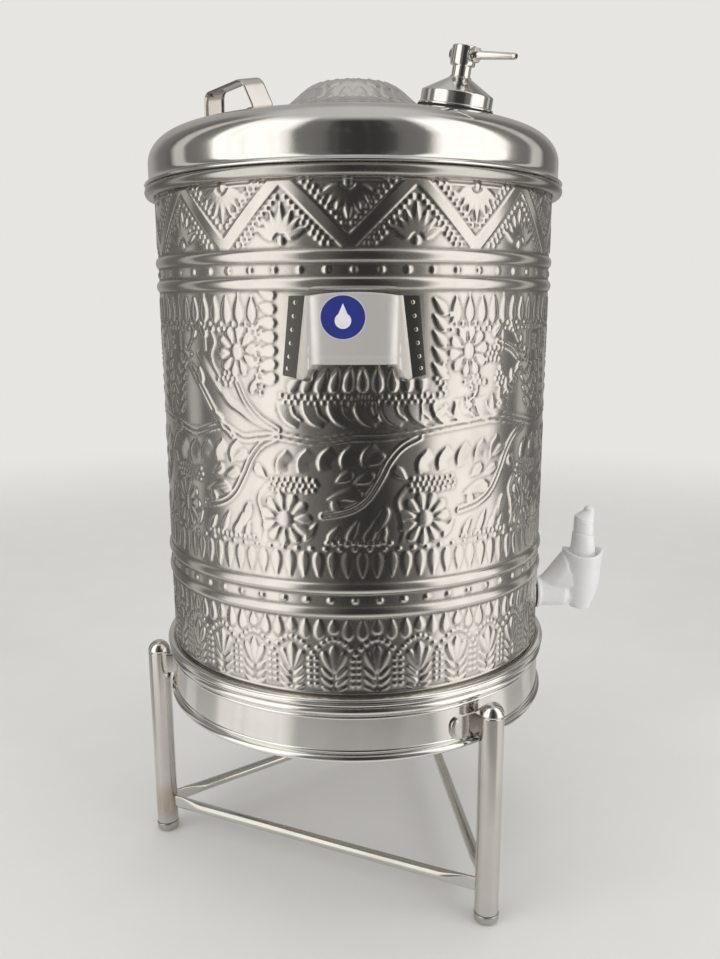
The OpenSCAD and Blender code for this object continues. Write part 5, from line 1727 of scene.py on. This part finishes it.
@dataclass
class Pump:
    """Lid pump: a conical collar, a head that turns with its spout, nut and port plug, and the spring."""

    base: tuple[float, ...] = (73.616, -81.759, 617.618)
    axis: tuple[float, ...] = (0.141404, -0.157045, 0.977416)
    spout: tuple[float, ...] = (0.654019, -0.726362, -0.211325)
    spout_height: float = 36.7
    coil_low: float = -66.27
    coil_top: float = -38.73
    coil_radius: float = 7.7
    coil_turns: int = 7
    wire: float = 0.6
    stroke: float = 6.5
    nut_flat: float = 4.7

    def build(self) -> None:
        """Makes the collar, the head, the nut, the spout, the plug and the spring."""
        up = Place(self.base, self.spout, self.axis)
        middle = tuple(np.array(self.base) + self.spout_height * np.array(self.axis))
        out = Place(middle, tuple(-np.array(self.axis)), self.spout)
        collar = rounded([
            (24.8, 1.5, 0.2), (27.2, 1.5, 0.5), (27.2, 2.9, 0.6), (26.0, 3.2, 0.3), (26.0, 11.1, 0.9),
            (8.1, 21.2, 0.6), (7.6, 22.4, 0.3), (6.96, 22.4, 0.2), (6.96, 19.6, 0.2), (24.8, 9.6, 0.4),
        ])
        cone = Shell().closed(revolve(collar, up, 120), ring=True)
        cone.make("pump_cone_collar", "lid", POLISHED, ["pump_collar"])
        head = np.concatenate([
            [[5.0, 14.2], [6.8, 14.2], [6.8, 28.9], [7.2, 29.3]],
            rounded([(8.4, 29.3, 0.2), (9.0, 30.2, 0.5), (9.0, 42.3, 1.1), (0.02, 42.9, 0.01)], 5)[:-6],
            [[0.02, 42.8]],
        ])
        shell = Shell().closed(revolve(head, up, 72))
        boss = np.array([[4.4, -9.9], [4.9, -9.5], [4.9, 8.3], [4.4, 8.7]])
        shell.closed(revolve(boss, out, 48)).make("pump_head_body", "pump_spray", POLISHED, ["pump_head"])
        self.nut(out)
        self.spring(up)
        tube = np.array([
            [2.3, 4.8], [2.3, 12.7], [3.0, 13.1], [3.0, 15.5], [2.8, 16.2], [2.15, 45.4], [2.0, 46.8],
            [1.7, 47.4], [1.3, 47.4], [1.3, 43.0], [0.02, 43.0],
        ])
        Shell().closed(revolve(tube, out, 40)).make("pump_spout_tube", "pump_spray", POLISHED, ["spout_tube"])
        z = np.linspace(-10.6, -7.7, 13)
        plug = np.stack([4.25 + 0.18 * np.cos((z + 10.6) * 2 * np.pi / 0.97), z], -1)
        plug = np.concatenate([[[3.2, -10.9]], plug, [[2.45, -7.6], [2.45, -4.8]]])
        Shell().closed(revolve(plug, out, 40)).make("pump_port_plug", "pump_spray", TUBE, ["head_plug"])

    def spring(self, up: Place) -> None:
        """Return spring: a round wire along a helix round the rod.

        Args:
            up: Frame whose z is the pump's axis.
        """
        t = np.linspace(0, 1, self.coil_turns * 24 + 1)[:, None]
        a = np.linspace(0, 2 * np.pi, 10, endpoint=False)
        turn = 2 * np.pi * self.coil_turns * t
        r = self.coil_radius + self.wire * np.cos(a)
        climb = self.coil_low + (self.coil_top - self.coil_low) * t + self.wire * np.sin(a)
        coil = up.to(np.stack([r * np.cos(turn), r * np.sin(turn), climb], -1))
        piece = Shell().closed(coil).make("pump_return_spring", "lid", TUBE, ["pump_spring"])
        seat = np.array(self.base) + (self.coil_low - self.wire) * np.array(self.axis)
        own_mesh(piece)

    def nut(self, out: Place) -> None:
        """Hexagon with turned chamfers: the smaller of its radius and a cone's, at each angle and height.

        Args:
            out: Frame whose z is the spout's axis.
        """
        a = np.linspace(0, 2 * np.pi, 72, endpoint=False)
        hexagon = self.nut_flat / np.cos((a + np.pi / 6) % (np.pi / 3) - np.pi / 6)
        x = np.array([8.75, 8.9, 9.3, 12.1, 12.5, 12.65])[:, None]
        turned = np.array([4.5, 4.75, 5.5, 5.5, 4.75, 4.5])[:, None]
        r = np.minimum(hexagon, turned)
        shell = Shell().closed(out.to(np.stack([r * np.cos(a), r * np.sin(a), x + 0 * a], -1)))
        shell.make("pump_spout_nut", "pump_spray", BRIGHT, ["spout_nut"], 20)


class SolidDress:
    """Finishes for the solids that stay in view as they are."""

    by_slot = {
        "embossed_steel": EMBOSSED,
        "polished_steel": BRIGHT,
        "steel": SHEET,
        "tap_plastic": TAP_WHITE,
        "pump_plastic": PUMP_WHITE,
        "rubber": SEAL,
        "label": BLUE_LABEL,
    }

    def build(self) -> None:
        """Gives every solid the finish of its record slot."""
        slots = {part["node"]: part["material_slot"] for part in frame["record"]["subparts"]}
        for name, solid in frame["nodes"].items():
            finish = self.by_slot[slots[name]]
            solid.data.materials.clear()
            solid.data.materials.append(finish.material)
            LOG.info("%s: dressed as %s", name, finish.name)


# Studio


@dataclass
class Studio:
    """Pale room: a floor that fades out, soft lights, a tent that only reflections show, and the camera."""

    focal: float = 862.9
    frame_height: int = 959
    sensor: float = 36.0
    camera_back: float = 746.6
    camera_up: float = 482.9
    pitch: float = 0.20411
    yaw: float = -0.0060957
    roll: float = -0.0032988
    pale: Colour = (0.80, 0.785, 0.76)
    tent_radius: float = 2400.0
    tent_height: float = 2300.0
    tent_start: float = 280.0
    tent_fade: tuple[float, float] = (0.30, 0.46)
    near_fade: tuple[float, float] = (0.48, 0.70)
    near_cover: float = 0.62
    roof_climb: tuple[float, float] = (52.0, 72.0)
    floor_fade: tuple[float, float] = (0.9, 2.3)
    fill: float = 0.75
    aim: tuple[float, ...] = (0.0, 0.0, 0.38)
    cloth: Colour = (1.0, 0.975, 0.94)
    roof_gain: float = 0.58
    drape_turn: float = 4.5
    ground_gain: float = 0.60
    eye_level: float = 0.55
    drape: tuple[tuple[float, float], ...] = (
        (0.0, 0.035), (0.085, 0.05), (0.105, 0.15), (0.185, 0.18), (0.212, 1.05), (0.235, 1.4), (0.445, 1.38),
        (0.465, 0.30), (0.50, 0.2), (0.558, 0.16), (0.572, 0.62), (0.625, 0.56), (0.642, 0.1), (0.67, 0.15),
        (0.74, 0.2), (0.80, 0.38), (1.0, 0.42),
    )
    stone_dark: Colour = (0.88, 0.878, 0.872)
    stone_pale: Colour = (0.92, 0.918, 0.912)
    lamps: tuple[tuple, ...] = (
        ("light_left", (-1.63, -1.02, 0.95), (1.4, 1.7), 11.0),
        ("light_right", (1.63, -1.02, 0.95), (1.4, 1.7), 12.0),
        ("light_top", (0.0, 0.1, 2.2), (1.5, 1.5), 5.0),
    )

    def build(self) -> None:
        """Sets the view transform, and makes the camera, the world, the lights, the tent and the floor."""
        bpy.context.scene.view_settings.view_transform = "Standard"
        self.camera()
        self.world()
        for lamp in self.lamps:
            self.light(*lamp)
        self.tent()
        self.floor()

    def camera(self) -> None:
        """Camera from its fitted place: its right, up and back axes are the matrix's columns."""
        cy, sy, c, s = math.cos(self.yaw), math.sin(self.yaw), math.cos(self.pitch), math.sin(self.pitch)
        cr, sr = math.cos(self.roll), math.sin(self.roll)
        right, ahead, up = np.array([cy, sy, 0]), np.array([-sy, cy, 0]), np.array([0, 0, 1.0])
        view, top = c * ahead - s * up, s * ahead + c * up
        axes = np.eye(4)
        axes[:3, :3] = np.stack([cr * right + sr * top, cr * top - sr * right, -view], 1)
        axes[:3, 3] = (0, -self.camera_back * MM, self.camera_up * MM)
        data = bpy.data.cameras.new("camera")
        data.sensor_width = self.sensor
        data.lens = self.focal * self.sensor / self.frame_height
        data.clip_start = 0.01
        eye = bpy.data.objects.new("camera", data)
        eye.matrix_world = Matrix(axes.tolist())
        bpy.context.scene.collection.objects.link(eye)
        bpy.context.scene.camera = eye

    def world(self) -> None:
        """World that is pale to the camera and in reflections, and a dimmer light for everything else."""
        world = bpy.data.worlds.new("room")
        bpy.context.scene.world = world
        graph = Graph(world)
        path = graph.node("ShaderNodeLightPath").socket.node
        rays = [Sock(graph, path.outputs[f"Is {kind} Ray"]) for kind in ("Camera", "Glossy", "Transmission")]
        seen = rays[0] | rays[1] | rays[2]
        shine = graph.node("ShaderNodeBackground", None, {0: rgba(self.pale), 1: 1.0})
        fill = graph.node("ShaderNodeBackground", None, {0: rgba(self.pale), 1: self.fill})
        both = graph.node("ShaderNodeMixShader", None, {0: seen, 1: fill, 2: shine})
        graph.node("ShaderNodeOutputWorld", None, {0: both})

    def light(self, name: str, at: tuple[float, ...], size: tuple[float, float], power: float) -> None:
        """Soft rectangular light that faces the drum's middle, and that only dull surfaces show.

        Args:
            name: Name of the light.
            at: Place, in metres.
            size: Width and height, in metres.
            power: Watts.
        """
        data = bpy.data.lights.new(name, "AREA")
        data.shape, data.size, data.size_y, data.energy = "RECTANGLE", size[0], size[1], power
        lamp = bpy.data.objects.new(name, data)
        to = np.array(self.aim) - np.array(at)
        back = -to / np.linalg.norm(to)
        side = np.cross([0, 1.0, 0] if abs(back[2]) > 0.95 else [0, 0, 1.0], back)
        side /= np.linalg.norm(side)
        axes = np.eye(4)
        axes[:3, :3] = np.stack([side, np.cross(back, side), back], 1)
        axes[:3, 3] = at
        lamp.matrix_world = Matrix(axes.tolist())
        lamp.visible_glossy = False
        bpy.context.scene.collection.objects.link(lamp)

    def tent(self) -> None:
        """Cloth tent that shows only in reflections: floor, wall and roof in one turned profile.

        Its brightness follows the direction from the axis: dark behind the camera, pale beside it, and
        grey at the sides and the back.
        """
        r, top = self.tent_radius, self.tent_height
        profile = np.array([
            [self.tent_start, 1.5], [800.0, 1.5], [r, 1.5], [r, 300.0], [r, top * 0.6], [r, top],
            [r * 0.6, top + 200.0], [0.02, top + 300.0],
        ])
        grid = revolve(profile, cols=96)
        mesh = bpy.data.meshes.new("tent")
        mesh.from_pydata((grid.reshape(-1, 3) * MM).tolist(), [], Shell.quads(grid, False, True).tolist())
        material = bpy.data.materials.new("tent")
        graph = Graph(material)
        at = Finish.where(graph)
        x, y, z = graph.split(at)
        away = (x * x + y * y) ** 0.5
        turn = x.math("ARCTAN2", x, y * -1.0) - math.radians(self.drape_turn)
        fold = graph.noise(graph.vector(turn * 3.0, z * 0.4, 0.0), 2.2, 2.0)
        share = x.math("ABSOLUTE", turn) / math.pi + (fold - 0.5) * 0.02
        stops = [(place, rgba(self.cloth, gain)) for place, gain in self.drape]
        cloth = graph.node("ShaderNodeValToRGB", {"stops": stops}, {0: share})
        streak = graph.noise(graph.vector(turn * 9.0, z * 0.2, 3.0), 2.5, 3.0)
        cloth = graph.mix(streak.step(0.45, 0.8) * 0.4, cloth, rgba(self.cloth, 0.22))
        wall = z.step(0.01, 0.1)
        near = (1 - wall) * (1 - away.step(*self.near_fade)) * self.near_cover
        cloth = graph.mix(near, cloth, rgba(self.cloth, self.ground_gain))
        climb = x.math("ARCTAN2", z - self.eye_level, away)
        high = climb.step(*np.radians(self.roof_climb).tolist())
        roof = graph.mix(high, cloth, rgba(self.cloth, self.roof_gain))
        glow = graph.node("ShaderNodeEmission", None, {0: roof, 1: 1.0})
        self.fade(graph, away.step(*self.tent_fade) | wall, glow)
        cloth_ring = self.show(mesh, "tent", material)
        for ray in ("camera", "diffuse", "transmission", "volume_scatter", "shadow"):
            setattr(cloth_ring, f"visible_{ray}", False)

    def floor(self) -> None:
        """Pale disc round the object that fades into the room: its cover falls with distance from it."""
        mesh = bpy.data.meshes.new("floor")
        rings = revolve(np.array([[0.02, 0.0], [900.0, 0.0], [2600.0, 0.0]]), cols=64)
        quads = Shell.quads(rings, False, True)[:, ::-1]
        mesh.from_pydata((rings.reshape(-1, 3) * MM).tolist(), [], quads.tolist())
        material = bpy.data.materials.new("floor")
        graph = Graph(material)
        at = Finish.where(graph)
        x, y, _ = graph.split(at)
        cover = 1 - ((x * x + y * y) ** 0.5).step(*self.floor_fade)
        mottle = graph.noise(at, 14.0, 4.0)
        colour = graph.mix(mottle, rgba(self.stone_dark), rgba(self.stone_pale))
        sockets = {"Base Color": colour, "Roughness": 0.45 + mottle * 0.1}
        self.fade(graph, cover, graph.node("ShaderNodeBsdfPrincipled", None, sockets))
        self.show(mesh, "floor", material)

    @staticmethod
    def fade(graph: Graph, cover: Sock, shader: Sock) -> None:
        """Ends a material with a shader that shows where its cover is 1, and with nothing where it is 0.

        Args:
            graph: Nodes of the material.
            cover: Share of the shader.
            shader: The shader.
        """
        clear = graph.node("ShaderNodeBsdfTransparent")
        both = graph.node("ShaderNodeMixShader", None, {0: cover, 1: clear, 2: shader})
        graph.node("ShaderNodeOutputMaterial", None, {0: both})

    @staticmethod
    def show(mesh: bpy.types.Mesh, name: str, material: bpy.types.Material) -> bpy.types.Object:
        """Links a mesh as part of the stage.

        Args:
            mesh: Mesh with its place in its points.
            name: Name of the object.
            material: Material that dresses it.

        Returns:
            The object.
        """
        mesh.materials.append(material)
        thing = bpy.data.objects.new(name, mesh)
        bpy.context.scene.collection.objects.link(thing)
        return thing


def main() -> None:
    """Builds the studio and the sub-assemblies."""
    logging.basicConfig(level=logging.INFO, format="%(message)s")
    for part in (Studio(), SolidDress(), Stand(), Drum(), PocketHandle(), Tap(), Lid(), Pump()):
        LOG.info("building %s", type(part).__name__)
        part.build()


if __name__ == "__main__":
    main()
